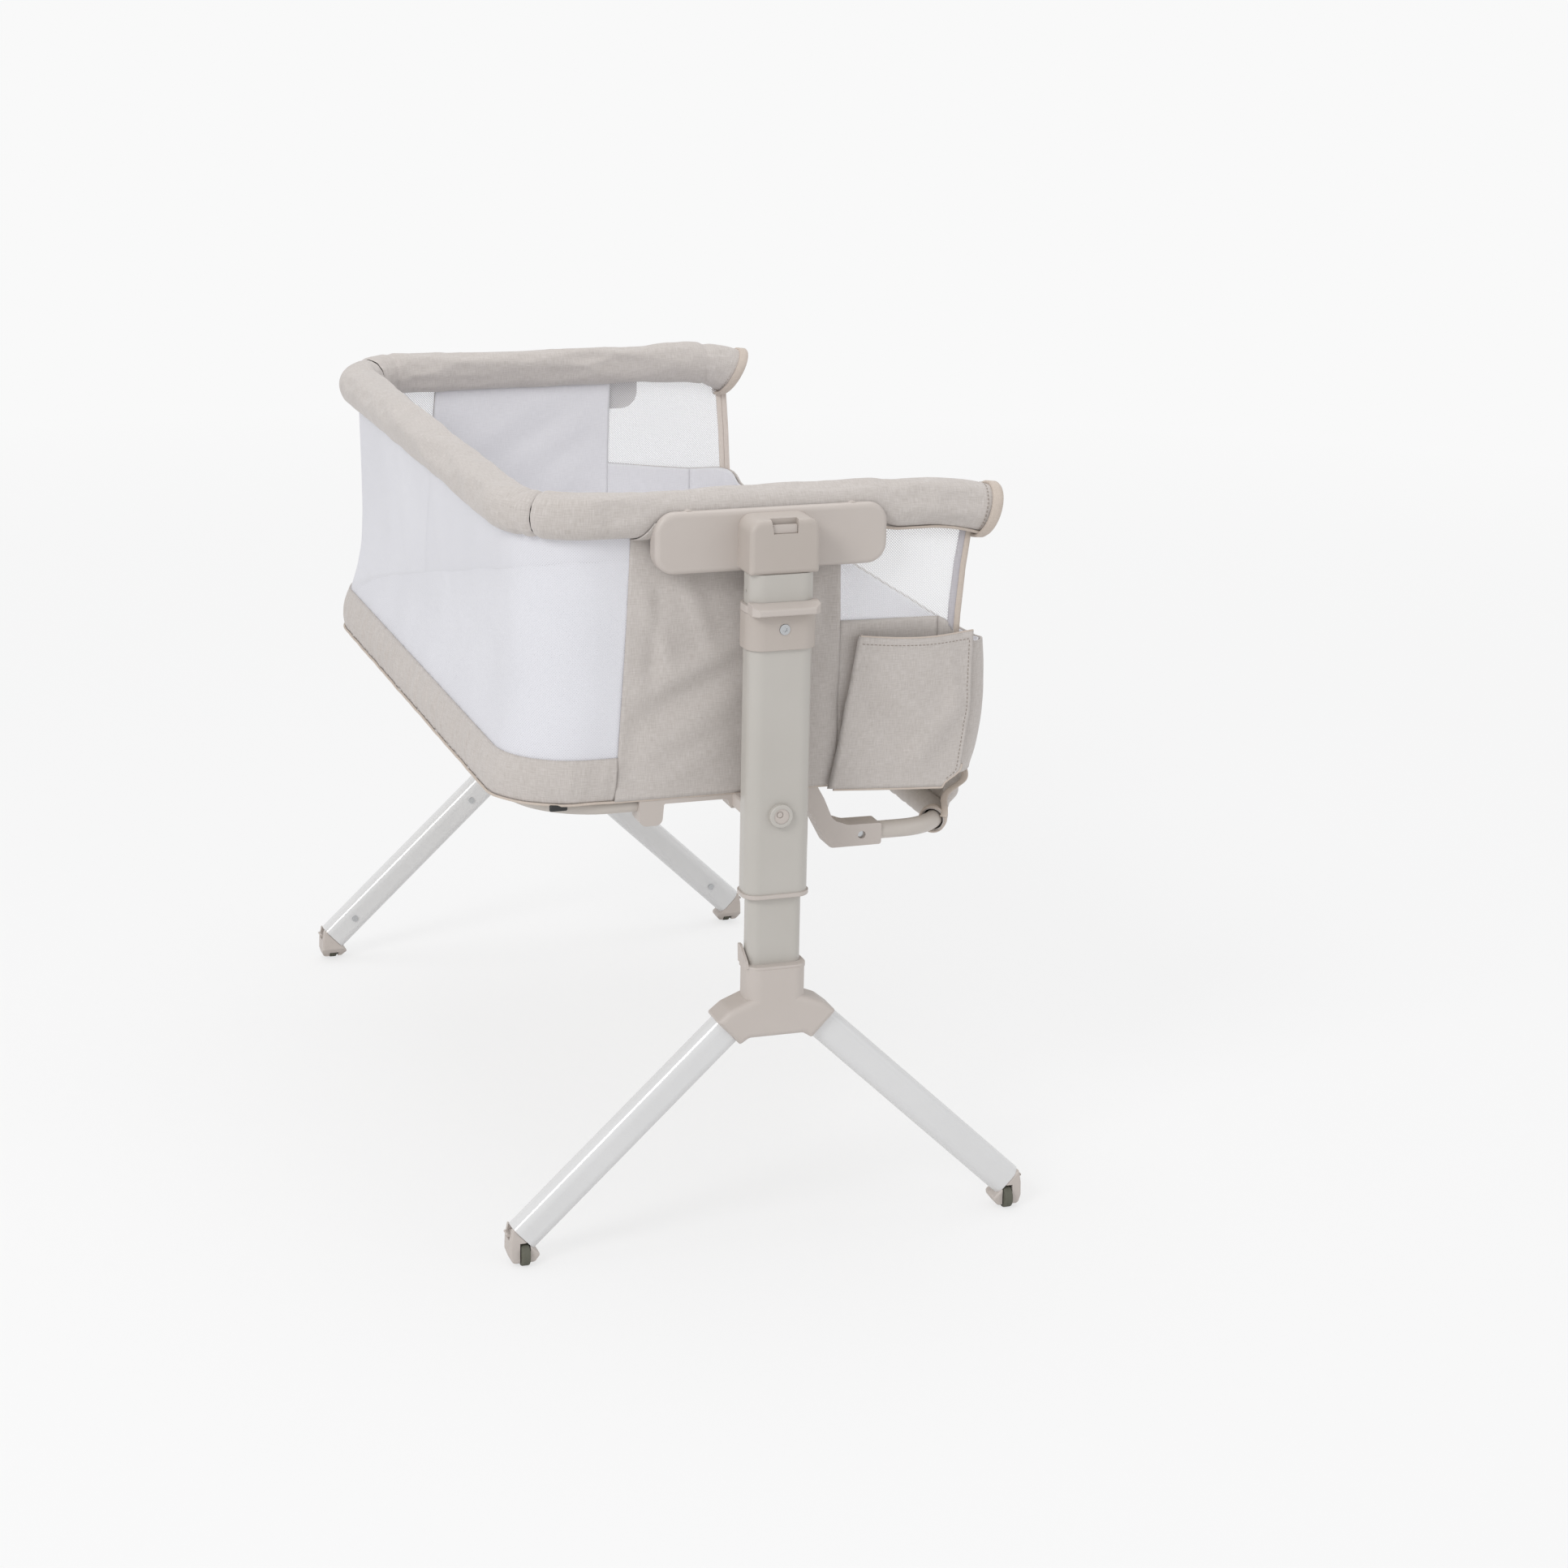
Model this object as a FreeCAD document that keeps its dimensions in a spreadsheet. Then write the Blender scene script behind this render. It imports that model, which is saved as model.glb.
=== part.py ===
"""Bedside sleeper crib: a padded fabric basket on two height-adjustable T-posts with wheeled feet.

Frame: X runs across the crib (+X is the bed side), Y along it (-Y is the near end), Z is up, and
the floor is z = 0.  Millimetres throughout.  Each end of the crib is modelled once, at -Y, and
mirrored to +Y; each foot is modelled once, at -X, and mirrored to +X.
"""
import math
import os

import FreeCAD
import Part
from FreeCAD import Placement, Rotation, Vector

os.makedirs("parts", exist_ok=True)
doc = FreeCAD.newDocument("bedside_crib")

# ---------------------------------------------------------------- sizes
# Heights are built up from the floor, and reaches outward from the middle: a text is a formula of the sheet.
SIZES = {
    # stand
    "ankle_z": 31.261,        # middle of a leg's lower end, above the floor
    "leg_start_x": 54.9,
    "leg_start_z": "=ankle_z + leg_length * sin(leg_angle * 1deg)",
    "leg_angle": 43.4,
    "leg_length": 313.7,
    "leg_insert": 10,
    "leg_height": 37.3,
    "leg_depth": 28,
    "leg_round": 11.5,
    "leg_wall": 1.8,
    "leg_shift": 5,
    "leg_y": "=post_y + leg_shift",
    "hub_shift": 4,
    "hub_y": "=post_y + hub_shift",
    "hub_depth": 44,
    "hub_collar_half": 33.75,
    "hub_arm_wall": 1.2,
    "hub_rise": 70.2,
    "hub_top": "=leg_start_z + hub_rise",
    "hub_grip": 64,           # depth of the inner post in the hub
    "foot_reach": -0.826,
    "foot_x": "=leg_start_x + leg_length * cos(leg_angle * 1deg) + foot_reach",
    "wheel_radius": 12.5,
    "wheel_width": 9.6,
    "wheel_shift": 8,
    "wheel_y": "=leg_y + wheel_shift",
    "axle_radius": 2,
    "brake_reach": 10.5,
    "brake_x": "=foot_x + brake_reach",
    "brake_rise": 2.739,
    "brake_z": "=ankle_z + brake_rise",
    "brake_radius": 3.2,
    "brake_length": 13.4,
    # telescoping posts
    "post_y": 500,            # post axis, outward from the middle of the crib
    "sleeve_width": 72,
    "sleeve_depth": 40,
    "sleeve_round": 15,
    "sleeve_wall": 2,
    "stand_gap": 84,          # from the hub to the outer sleeve
    "sleeve_bottom": "=hub_top + stand_gap",
    "sleeve_length": 354,
    "sleeve_top": "=sleeve_bottom + sleeve_length",
    "inner_width": 60,
    "inner_depth": 30,
    "inner_round": 11,
    "inner_wall": 2,
    "inner_length": 322,
    "inner_bottom": "=hub_top - hub_grip",
    "inner_top": "=inner_bottom + inner_length",
    "slide_gap": 0.3,         # play between parts that slide in each other
    "bush_lip": 5,
    "bush_plug": 26,
    # height lock on the post
    "lock_rise": 89,
    "lock_z": "=sleeve_bottom + lock_rise",
    "bezel_radius": 13,
    "bezel_height": 5.8,
    "button_radius": 8.5,
    "button_head": 2.4,
    "button_sink": 0.8,       # how far the button lies inside its raised ring
    "stem_radius": 3,
    "hole_step": 20,
    # collar and release lever
    "collar_width": 79,
    "collar_depth": 47,
    "collar_round": 18.5,
    "collar_drop": 42,
    "collar_height": 40,
    "collar_top": "=sleeve_top - collar_drop",
    "collar_bottom": "=collar_top - collar_height",
    "collar_screw_rise": 23,
    "collar_screw_z": "=collar_bottom + collar_screw_rise",
    "lever_half": 38,
    "lever_ledge": 35,
    "lever_reach": "=post_y + lever_ledge",
    "lever_height": 12,
    "lever_band": 8,
    "lever_lip": 7,
    # head and T-bar
    "head_width": 78,
    "head_height": 59,
    "head_top": "=sleeve_top + head_height",
    "head_reach": 22,
    "head_front": "=post_y + head_reach",
    "head_round": 14,
    "latch_width": 26.4,
    "latch_drop": 14.7,
    "latch_bottom": "=head_top - latch_drop",
    "tbar_width": 260,
    "tbar_below": 61,
    "tbar_bottom": "=rail_z - tbar_below",
    "tbar_above": 6,
    "tbar_top": "=rail_z + tbar_above",
    "tbar_reach": 35,
    "tbar_front": "=rail_y + tbar_reach",
    "tbar_inset": 15,
    "tbar_back": "=rail_y + tbar_inset",
    "tbar_round": 22,
    "boss_x": 92,
    "boss_radius": 7,
    # padded top rail
    "rail_x": 263,
    "rail_inset": 55,
    "rail_y": "=post_y - rail_inset",
    "rail_rise": 57,
    "rail_z": "=sleeve_top + rail_rise",
    "rail_bend": 80,
    "rail_tube_radius": 9.5,
    "rail_tube_wall": 1.5,
    "rail_tube_end": 131,
    "pad_radius": 27,
    "pad_end": 250,
    "pad_droop": 9,
    "pad_straight_end": 222,
    "binding_end": 256.5,
    "sleeve_bore": 11.5,
    # basket underframe
    "basket_depth": 314,
    "floor_z": "=rail_z - basket_depth",
    "base_tube_x": 256,
    "base_tube_inset": 7,
    "base_tube_y": "=rail_y - base_tube_inset",
    "base_tube_drop": 8.5,
    "base_tube_z": "=floor_z - base_tube_drop",
    "base_tube_bend": 90,
    "base_tube_radius": 8.5,
    "base_tube_wall": 1.6,
    "base_tube_end": 137,
    "bar_x": 232,
    "bar_drop": 61.4,
    "bar_z": "=floor_z - bar_drop",
    "bar_end": 95,
    "bar_bend": 60,
    "bar_radius": 10,
    "bar_wall": 1.6,
    "snap_x": 120,
    "snap_radius": 3.6,
    "snap_sink": 4.5,         # how far a snap button stays below the bar's surface, from its seat
    "bracket_depth": 27,
    # fabric basket
    "cloth": 2.5,
    "bed_side_x": 257,
    "band_height": 49,
    "band_top": "=floor_z + band_height",
    "low_wall_height": 182,
    "low_wall_top": "=floor_z + low_wall_height",
    "low_wall_slope": 13,     # how far the wall's edge has sunk at the bed side's corners
    "low_wall_dip": 40,
    "low_wall_sag": "=low_wall_top - low_wall_dip",
    "window_x": 88,
    "window_right": 220,
    "wall_top": "=rail_z - pad_radius",
    "board_thick": 6,
    "mattress_thick": 48,
    "mattress_top": "=floor_z + board_thick + mattress_thick",
    "loop_half": 345,
    "loop_thick": 2.6,
}
sheet = doc.addObject("Spreadsheet::Sheet", "Sizes")
for row, (alias, value) in enumerate(SIZES.items(), start=1):
    sheet.set("A%d" % row, alias)
    sheet.set("B%d" % row, str(value))
    sheet.setAlias("B%d" % row, alias)
doc.recompute()


def size(alias):
    """Value of one aliased cell of the size table."""
    return float(sheet.get(alias))


# ---------------------------------------------------------------- outlines
def rounded(points, radii):
    """Closed outline through 2-D points, each corner rounded by its own radius (0 keeps it)."""
    corners = []
    count = len(points)
    for i in range(count):
        here = Vector(points[i][0], points[i][1], 0)
        before = Vector(points[i - 1][0], points[i - 1][1], 0) - here
        after = Vector(points[(i + 1) % count][0], points[(i + 1) % count][1], 0) - here
        if radii[i] <= 0:
            corners.append((here, here, here))
            continue
        before.normalize()
        after.normalize()
        half = before.getAngle(after) / 2
        reach = radii[i] / math.tan(half)
        middle = before + after
        middle.normalize()
        centre = here + middle * (radii[i] / math.sin(half))
        corners.append((here + before * reach, centre - middle * radii[i], here + after * reach))
    geometry = []
    for i in range(count):
        start, middle, end = corners[i]
        if radii[i] > 0:
            geometry.append(Part.Arc(start, middle, end))
        following = corners[(i + 1) % count][0]
        if end.distanceToPoint(following) > 1e-6:
            geometry.append(Part.LineSegment(end, following))
    return geometry


def box_outline(x, y, width, depth, radius):
    """Rounded rectangle centred on (x, y)."""
    w, d = width / 2, depth / 2
    points = [(x - w, y - d), (x + w, y - d), (x + w, y + d), (x - w, y + d)]
    return rounded(points, [radius] * 4)


def circle(x, y, radius):
    """Full circle as sketch geometry."""
    return [Part.Circle(Vector(x, y, 0), Vector(0, 0, 1), radius)]


def wire(geometry, z=0.0):
    """Wire at height z from sketch geometry."""
    result = Part.Wire(Part.__sortEdges__([g.toShape() for g in geometry]))
    result.translate(Vector(0, 0, z))
    return result


# ---------------------------------------------------------------- feature helpers
def new_body(name):
    """Empty body whose label is the node name."""
    body = doc.addObject("PartDesign::Body", name)
    body.Label = name
    return body


def sketch_on(body, plane, geometry, offset="0"):
    """Sketch on an origin plane of the body, moved along the plane's normal by an expression."""
    sketch = body.newObject("Sketcher::SketchObject", body.Name + "_outline")
    for feature in body.Origin.OriginFeatures:
        if feature.Role == plane + "_Plane":
            sketch.AttachmentSupport = [(feature, "")]
    sketch.MapMode = "FlatFace"
    sketch.addGeometry(geometry, False)
    sketch.setExpression("AttachmentOffset.Base.z", offset)
    return sketch


def pad(body, plane, geometry, offset, length):
    """Pad a sketch along its plane's normal; offset and length are size expressions."""
    feature = body.newObject("PartDesign::Pad", body.Name + "_pad")
    feature.Profile = sketch_on(body, plane, geometry, offset)
    feature.setExpression("Length", length)
    doc.recompute()
    return feature


def pocket(body, plane, geometry, offset, length, forward=False):
    """Pocket against the plane's normal, or along it when forward is set."""
    feature = body.newObject("PartDesign::Pocket", body.Name + "_pocket")
    feature.Profile = sketch_on(body, plane, geometry, offset)
    feature.setExpression("Length", length)
    feature.Reversed = forward
    doc.recompute()
    return feature


def fillet(body, feature, wanted, radius):
    """Round the edges of a feature that the test function picks."""
    names = ["Edge%d" % (i + 1) for i, e in enumerate(feature.Shape.Edges) if wanted(e)]
    rounding = body.newObject("PartDesign::Fillet", body.Name + "_round")
    rounding.Base = (feature, names)
    rounding.Radius = radius
    doc.recompute()
    return rounding


def cut(name, base, tool):
    """Node made of one object less another."""
    result = doc.addObject("Part::Cut", name)
    result.Label = name
    result.Base = base
    result.Tool = tool
    doc.recompute()
    return result


def fuse(name, parts):
    """Several objects joined into one solid."""
    result = doc.addObject("Part::MultiFuse", name)
    result.Label = name
    result.Shapes = parts
    result.Refine = True
    doc.recompute()
    return result


def common(name, first, second):
    """Node made of what two objects share."""
    result = doc.addObject("Part::MultiCommon", name)
    result.Label = name
    result.Shapes = [first, second]
    doc.recompute()
    return result


def group(name, parts):
    """Identical small pieces kept as separate solids in one node."""
    result = doc.addObject("Part::Compound", name)
    result.Label = name
    result.Links = parts
    doc.recompute()
    return result


def mirror(name, source, normal):
    """Mirror image of an object through the middle of the crib."""
    result = doc.addObject("Part::Mirroring", name)
    result.Label = name
    result.Source = source
    result.Normal = normal
    result.Base = Vector(0, 0, 0)
    doc.recompute()
    return result


def rod(name, start, direction, radius, length):
    """Cylinder from a point along a direction; radius and length are size expressions."""
    result = doc.addObject("Part::Cylinder", name)
    result.Label = name
    result.Placement = Placement(Vector(*start), Rotation(Vector(0, 0, 1), Vector(*direction)))
    result.setExpression("Radius", radius)
    result.setExpression("Height", length)
    doc.recompute()
    return result


def block(name, low, high):
    """Box between two corner points."""
    result = doc.addObject("Part::Box", name)
    result.Label = name
    result.Placement.Base = Vector(*low)
    result.Length = high[0] - low[0]
    result.Width = high[1] - low[1]
    result.Height = high[2] - low[2]
    doc.recompute()
    return result


def solid(name, shape):
    """Free-form shape worked out from the size table."""
    result = doc.addObject("Part::Feature", name)
    result.Label = name
    result.Shape = shape
    return result


def slab(points, low, high):
    """Prism between y = low and y = high over an outline of (x, z) points."""
    face = Part.Face(Part.makePolygon([Vector(x, low, z) for x, z in points + points[:1]]))
    return face.extrude(Vector(0, high - low, 0))


def pipe(path, radius):
    """Round bar of one radius swept along a wire."""
    start = path.Edges[0].valueAt(path.Edges[0].FirstParameter)
    along = path.Edges[0].tangentAt(path.Edges[0].FirstParameter)
    ring = Part.Wire([Part.Circle(start, along, radius).toShape()])
    return path.makePipeShell([ring], True, False)


ACROSS = Vector(1, 0, 0)
ALONG = Vector(0, 1, 0)
post_y = size("post_y")
nodes = []


def both_ends(near, name):
    """Keep a near piece as near_NAME and its mirror image as far_NAME."""
    near.Label = "near_" + name
    far = mirror("far_" + name, near, ALONG)
    nodes.extend([near, far])
    return far


def outside(edge, reach_x, reach_y):
    """True for an edge that leaves the box of half sizes reach_x, reach_y round the post axis."""
    box = edge.BoundBox
    across = max(abs(box.XMin), abs(box.XMax))
    along = max(abs(box.YMin + post_y), abs(box.YMax + post_y))
    return across > reach_x or along > reach_y


# ---------------------------------------------------------------- telescoping post
wall = size("sleeve_wall")
sleeve = new_body("near_post_sleeve")
pad(sleeve, "XY", box_outline(0, -post_y, size("sleeve_width"), size("sleeve_depth"), size("sleeve_round"))
    + box_outline(0, -post_y, size("sleeve_width") - 2 * wall, size("sleeve_depth") - 2 * wall,
                  size("sleeve_round") - wall),
    "Sizes.sleeve_bottom", "Sizes.sleeve_top - Sizes.sleeve_bottom")
pocket(sleeve, "XZ", circle(0, size("lock_z"), size("stem_radius") + 0.1),
       "Sizes.post_y + Sizes.sleeve_depth / 2 + 1", "Sizes.sleeve_wall + 3")
pocket(sleeve, "YZ", circle(-post_y, size("sleeve_top") - 20, 1.8), "-Sizes.sleeve_width / 2 - 1",
       "Sizes.sleeve_wall + 2", True)
sleeve_front = post_y + size("sleeve_depth") / 2
bezel = pad(sleeve, "XZ", circle(0, size("lock_z"), size("bezel_radius"))
            + circle(0, size("lock_z"), size("button_radius") + 0.1),
            "Sizes.post_y + Sizes.sleeve_depth / 2", "Sizes.bezel_height")
fillet(sleeve, bezel, lambda e: e.BoundBox.YMax < -sleeve_front - size("bezel_height") + 0.1
       and e.BoundBox.XLength > 2 * size("bezel_radius") - 1, 1.5)
both_ends(sleeve, "post_sleeve")

play = size("slide_gap")
bush = new_body("near_post_bush")
opening = box_outline(0, -post_y, size("inner_width") + 2 * play, size("inner_depth") + 2 * play,
                      size("inner_round") + play)
pad(bush, "XY", box_outline(0, -post_y, size("sleeve_width") + 4, size("sleeve_depth") + 4,
                            size("sleeve_round") + 2) + opening,
    "Sizes.sleeve_bottom - Sizes.bush_lip", "Sizes.bush_lip")
bush_plug = pad(bush, "XY", box_outline(0, -post_y, size("sleeve_width") - 2 * wall,
                                        size("sleeve_depth") - 2 * wall, size("sleeve_round") - wall) + opening,
                "Sizes.sleeve_bottom", "Sizes.bush_plug")
lip_z = size("sleeve_bottom") - size("bush_lip")
fillet(bush, bush_plug, lambda e: e.BoundBox.ZMax < lip_z + 0.01
       and outside(e, size("sleeve_width") / 2, size("sleeve_depth") / 2), 1.5)
both_ends(bush, "post_bush")

inner = new_body("near_inner_post")
thick = size("inner_wall")
pad(inner, "XY", box_outline(0, -post_y, size("inner_width"), size("inner_depth"), size("inner_round"))
    + box_outline(0, -post_y, size("inner_width") - 2 * thick, size("inner_depth") - 2 * thick,
                  size("inner_round") - thick),
    "Sizes.inner_bottom", "Sizes.inner_top - Sizes.inner_bottom")
lock_holes = []
for step in range(-2, 4):
    lock_holes += circle(0, size("lock_z") + step * size("hole_step"), 4)
pocket(inner, "XZ", lock_holes, "Sizes.post_y + Sizes.inner_depth / 2 + 1", "Sizes.inner_wall + 3")
both_ends(inner, "inner_post")

# ---------------------------------------------------------------- height lock button
button = new_body("near_lock_button")
pad(button, "XZ", circle(0, size("lock_z"), size("button_radius")),
    "Sizes.post_y + Sizes.sleeve_depth / 2 + Sizes.bezel_height - Sizes.button_sink - Sizes.button_head",
    "Sizes.button_head")
pad(button, "XZ", circle(0, size("lock_z"), size("stem_radius")),
    "Sizes.post_y + Sizes.sleeve_depth / 2 - Sizes.sleeve_wall - 0.4",
    "Sizes.sleeve_wall + Sizes.bezel_height - Sizes.button_sink - Sizes.button_head + 0.5")
eye_x, eye_z = -1.9, size("lock_z") + 1.9
pocket(button, "XZ", circle(eye_x, eye_z, 3.9) + circle(eye_x, eye_z, 2.7),
       "Sizes.post_y + Sizes.sleeve_depth / 2 + Sizes.bezel_height - Sizes.button_sink", "1")
both_ends(button, "lock_button")

# ---------------------------------------------------------------- collar and height release lever
collar = new_body("near_collar")
collar_front = post_y + size("collar_depth") / 2
collar_ring = pad(collar, "XY", box_outline(0, -post_y, size("collar_width"), size("collar_depth"),
                                            size("collar_round"))
                  + box_outline(0, -post_y, size("sleeve_width"), size("sleeve_depth"), size("sleeve_round")),
                  "Sizes.collar_bottom", "Sizes.collar_top - Sizes.collar_bottom")
fillet(collar, collar_ring, lambda e: e.BoundBox.ZMax < size("collar_bottom") + 0.01
       and outside(e, size("sleeve_width") / 2 + 1, size("sleeve_depth") / 2 + 1), 1.2)
pocket(collar, "XZ", circle(0, size("collar_screw_z"), 6),
       "Sizes.post_y + Sizes.collar_depth / 2 + 1", "2.2")
pocket(collar, "XZ", circle(0, size("collar_screw_z"), 3),
       "Sizes.post_y + Sizes.collar_depth / 2 + 1", "6")
both_ends(collar, "collar")

lever = new_body("near_release_lever")
around_sleeve = box_outline(0, -post_y, size("sleeve_width") + 2 * play, size("sleeve_depth") + 2 * play,
                            size("sleeve_round") + play)
pad(lever, "XY", box_outline(0, -post_y, size("collar_width"), size("collar_depth"), size("collar_round"))
    + around_sleeve, "Sizes.collar_top + Sizes.slide_gap", "Sizes.lever_band")
lever_low = size("collar_top") + play
reach = size("lever_reach")
ledge = rounded([(-reach, lever_low), (-reach, lever_low + size("lever_lip")),
                 (-sleeve_front - 2, lever_low + size("lever_height")),
                 (-sleeve_front + 8, lever_low + size("lever_height")), (-sleeve_front + 8, lever_low)],
                [2, 3, 1.5, 0, 0])
pad(lever, "YZ", ledge, "-Sizes.lever_half", "2 * Sizes.lever_half")
lever_trim = around_sleeve
for side in (-1, 1):
    tip = side * (size("lever_half") + 1)
    tip_corner = [(tip, -reach - 1), (tip, -reach + 8), (tip - side * 9, -reach - 1)]
    lever_trim = lever_trim + rounded(tip_corner, [0] * 3)
pocket(lever, "XY", lever_trim, "Sizes.collar_top + Sizes.lever_height + 10", "Sizes.lever_height + 20")
both_ends(lever, "release_lever")

# ---------------------------------------------------------------- head, latch and T-bar
half_head = size("head_width") / 2
head_body = new_body("near_head_shell")
front_face = rounded([(-half_head, size("sleeve_top")), (half_head, size("sleeve_top")),
                      (half_head, size("head_top")), (-half_head, size("head_top"))],
                     [3, 3, size("head_round"), size("head_round")])
head_block = pad(head_body, "XZ", front_face, "Sizes.tbar_front", "Sizes.head_front - Sizes.tbar_front")
head_round = fillet(head_body, head_block, lambda e: e.BoundBox.YMax < -size("head_front") + 0.01
                    and e.CenterOfMass.z > size("sleeve_top") + 5, 6)
pad(head_body, "XY", box_outline(0, -post_y, size("sleeve_width") - 2 * wall, size("sleeve_depth") - 2 * wall,
                                 size("sleeve_round") - wall),
    "Sizes.sleeve_top - 26", "26.5")
notch_half = size("latch_width") / 2 + play
notch = rounded([(-notch_half, size("latch_bottom") - play), (notch_half, size("latch_bottom") - play),
                 (notch_half + 1, size("head_top") + 5), (-notch_half - 3, size("head_top") + 5)], [0] * 4)
pocket(head_body, "XZ", notch, "Sizes.head_front + 1", "11")
both_ends(head_body, "head")

latch = new_body("near_head_latch")
latch_top = size("latch_bottom") + 8.7
pad(latch, "XZ", rounded([(-size("latch_width") / 2, size("latch_bottom")),
                          (size("latch_width") / 2, size("latch_bottom")),
                          (size("latch_width") / 2, latch_top), (-size("latch_width") / 2, latch_top)],
                         [0.8] * 4), "Sizes.head_front - 6.7", "3.7")
both_ends(latch, "head_latch")

tbar_body = new_body("near_tbar_shell")
middle_z = (size("tbar_bottom") + size("tbar_top")) / 2
tbar_block = pad(tbar_body, "XZ", box_outline(0, middle_z, size("tbar_width"),
                                              size("tbar_top") - size("tbar_bottom"), size("tbar_round")),
                 "Sizes.tbar_back", "Sizes.tbar_front - Sizes.tbar_back")
fillet(tbar_body, tbar_block, lambda e: e.BoundBox.YMax < -size("tbar_front") + 0.01, 6)
saddle = rod("near_saddle", (-200, -size("rail_y"), size("rail_z")), (1, 0, 0),
             "Sizes.pad_radius + Sizes.slide_gap", "400")
tbar_plain = cut("near_tbar_plain", tbar_body, saddle)
bosses = []
tube_face = size("rail_y") + size("rail_tube_radius")
for side in (-1, 1):
    bosses.append(rod("near_boss_%d" % side, (side * size("boss_x"), -tube_face, size("rail_z")), (0, -1, 0),
                      "Sizes.boss_radius", "Sizes.tbar_front - 5 - Sizes.rail_y - Sizes.rail_tube_radius"))
tbar = fuse("near_tbar", [tbar_plain] + bosses)
both_ends(tbar, "t_bar")

# ---------------------------------------------------------------- stand hub
angle = math.radians(size("leg_angle"))
direction = Vector(-math.cos(angle), 0, -math.sin(angle))
across_leg = Vector(-math.sin(angle), 0, math.cos(angle))
leg_start = Vector(-size("leg_start_x"), -size("leg_y"), size("leg_start_z"))
arm_half = size("leg_height") / 2 + size("hub_arm_wall")
arm_top = leg_start + across_leg * arm_half
arm_low = leg_start - across_leg * arm_half
hub_half = size("hub_collar_half")
hub_top = size("hub_top")
left_side = [(-24, hub_top - 32), (-54, hub_top - 44), (arm_top.x, arm_top.z), (arm_low.x, arm_low.z),
             (-31, hub_top - 78)]
hub_points = left_side + [(-x, z) for x, z in reversed(left_side)]
hub_radii = [0, 16, 2, 2, 8]
hub_body = new_body("near_hub_shell")
hub_block = pad(hub_body, "XZ", rounded(hub_points, hub_radii + hub_radii[::-1]),
                "Sizes.hub_y - Sizes.hub_depth / 2", "Sizes.hub_depth")
hub_front = size("hub_y") + size("hub_depth") / 2
hub_back = size("hub_y") - size("hub_depth") / 2


def hub_rim(edge):
    """Long outline edges of the hub, front and back, other than the flat top and the arm ends."""
    box = edge.BoundBox
    on_face = box.YMax < -hub_front + 0.01 or box.YMin > -hub_back - 0.01
    middle = edge.CenterOfMass
    at_arm_end = middle.z < hub_top - 58 and abs(middle.x) > 48 and edge.Length > 20
    return on_face and middle.z < hub_top - 1 and not at_arm_end and edge.Length > 1


fillet(hub_body, hub_block, hub_rim, 7)
pad(hub_body, "XY", box_outline(0, -size("hub_y"), 2 * hub_half, size("hub_depth"), 16), "Sizes.hub_top - 44",
    "44")
lip = box_outline(0, -size("hub_y") + 1, 2 * hub_half + 2.5, size("hub_depth") + 1, 17)
lip_ring = pad(hub_body, "XY", lip, "Sizes.hub_top - 2", "5")
fillet(hub_body, lip_ring, lambda e: e.BoundBox.ZMin > hub_top + 2.9, 1.5)
tab = rounded([(-post_y - 19, hub_top + 1), (-post_y + 11, hub_top + 1), (-post_y + 13, hub_top + 21),
               (-post_y + 5, hub_top + 21), (-post_y - 15, hub_top + 8)], [0, 0, 1.5, 3, 2])
pad(hub_body, "YZ", tab, "-Sizes.hub_collar_half - 1", "3")
pocket(hub_body, "XY", box_outline(0, -post_y, size("inner_width"), size("inner_depth"), size("inner_round")),
       "Sizes.hub_top + 30", "Sizes.hub_top + 30 - Sizes.inner_bottom")

turn = Rotation(Vector(0, 1, 0), -(90 + size("leg_angle")))
sockets = []
leg_outline = box_outline(0, 0, size("leg_height"), size("leg_depth"), size("leg_round"))
socket = new_body("near_left_socket")
pad(socket, "XY", leg_outline, "0", "Sizes.leg_insert + 20")
socket.Placement = Placement(leg_start - direction * size("leg_insert"), turn)
doc.recompute()
socket_pair = group("near_sockets", [socket, mirror("near_right_socket", socket, ACROSS)])
hub = cut("near_hub", hub_body, socket_pair)
both_ends(hub, "stand_hub")

# ---------------------------------------------------------------- legs
leg = new_body("near_left_leg")
skin = size("leg_wall")
pad(leg, "XY", leg_outline + box_outline(0, 0, size("leg_height") - 2 * skin, size("leg_depth") - 2 * skin,
                                         size("leg_round") - skin),
    "0", "Sizes.leg_length + Sizes.leg_insert")
SCREWS_ALONG_LEG = [49, 274]
screw_holes = []
for position in SCREWS_ALONG_LEG:
    screw_holes += circle(0, position + size("leg_insert"), 2)
pocket(leg, "XZ", screw_holes, "-Sizes.leg_depth / 2 - 1", "Sizes.leg_wall + 2", True)
leg.Placement = Placement(leg_start - direction * size("leg_insert"), turn)
doc.recompute()
right_leg = mirror("near_right_leg", leg, ACROSS)
both_ends(leg, "left_leg")
both_ends(right_leg, "right_leg")

# ---------------------------------------------------------------- foot caps
leg_end = leg_start + direction * size("leg_length")
end_top = leg_end + across_leg * (size("leg_height") / 2)
end_low = leg_end - across_leg * (size("leg_height") / 2)
foot_x = -size("foot_x")
cap_body = new_body("near_left_cap_shell")
cap_outline = rounded([(end_top.x, end_top.z), (end_low.x, end_low.z), (foot_x + 18, 13), (foot_x + 11, 4),
                       (foot_x - 14, 4), (foot_x - 17, 14), (foot_x - 16.5, 30)], [1, 1, 4, 5, 5, 7, 5])
cap_block = pad(cap_body, "XZ", cap_outline, "Sizes.leg_y - Sizes.leg_depth / 2", "Sizes.leg_depth")
cap_front = size("leg_y") + size("leg_depth") / 2
cap_back = size("leg_y") - size("leg_depth") / 2


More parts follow.
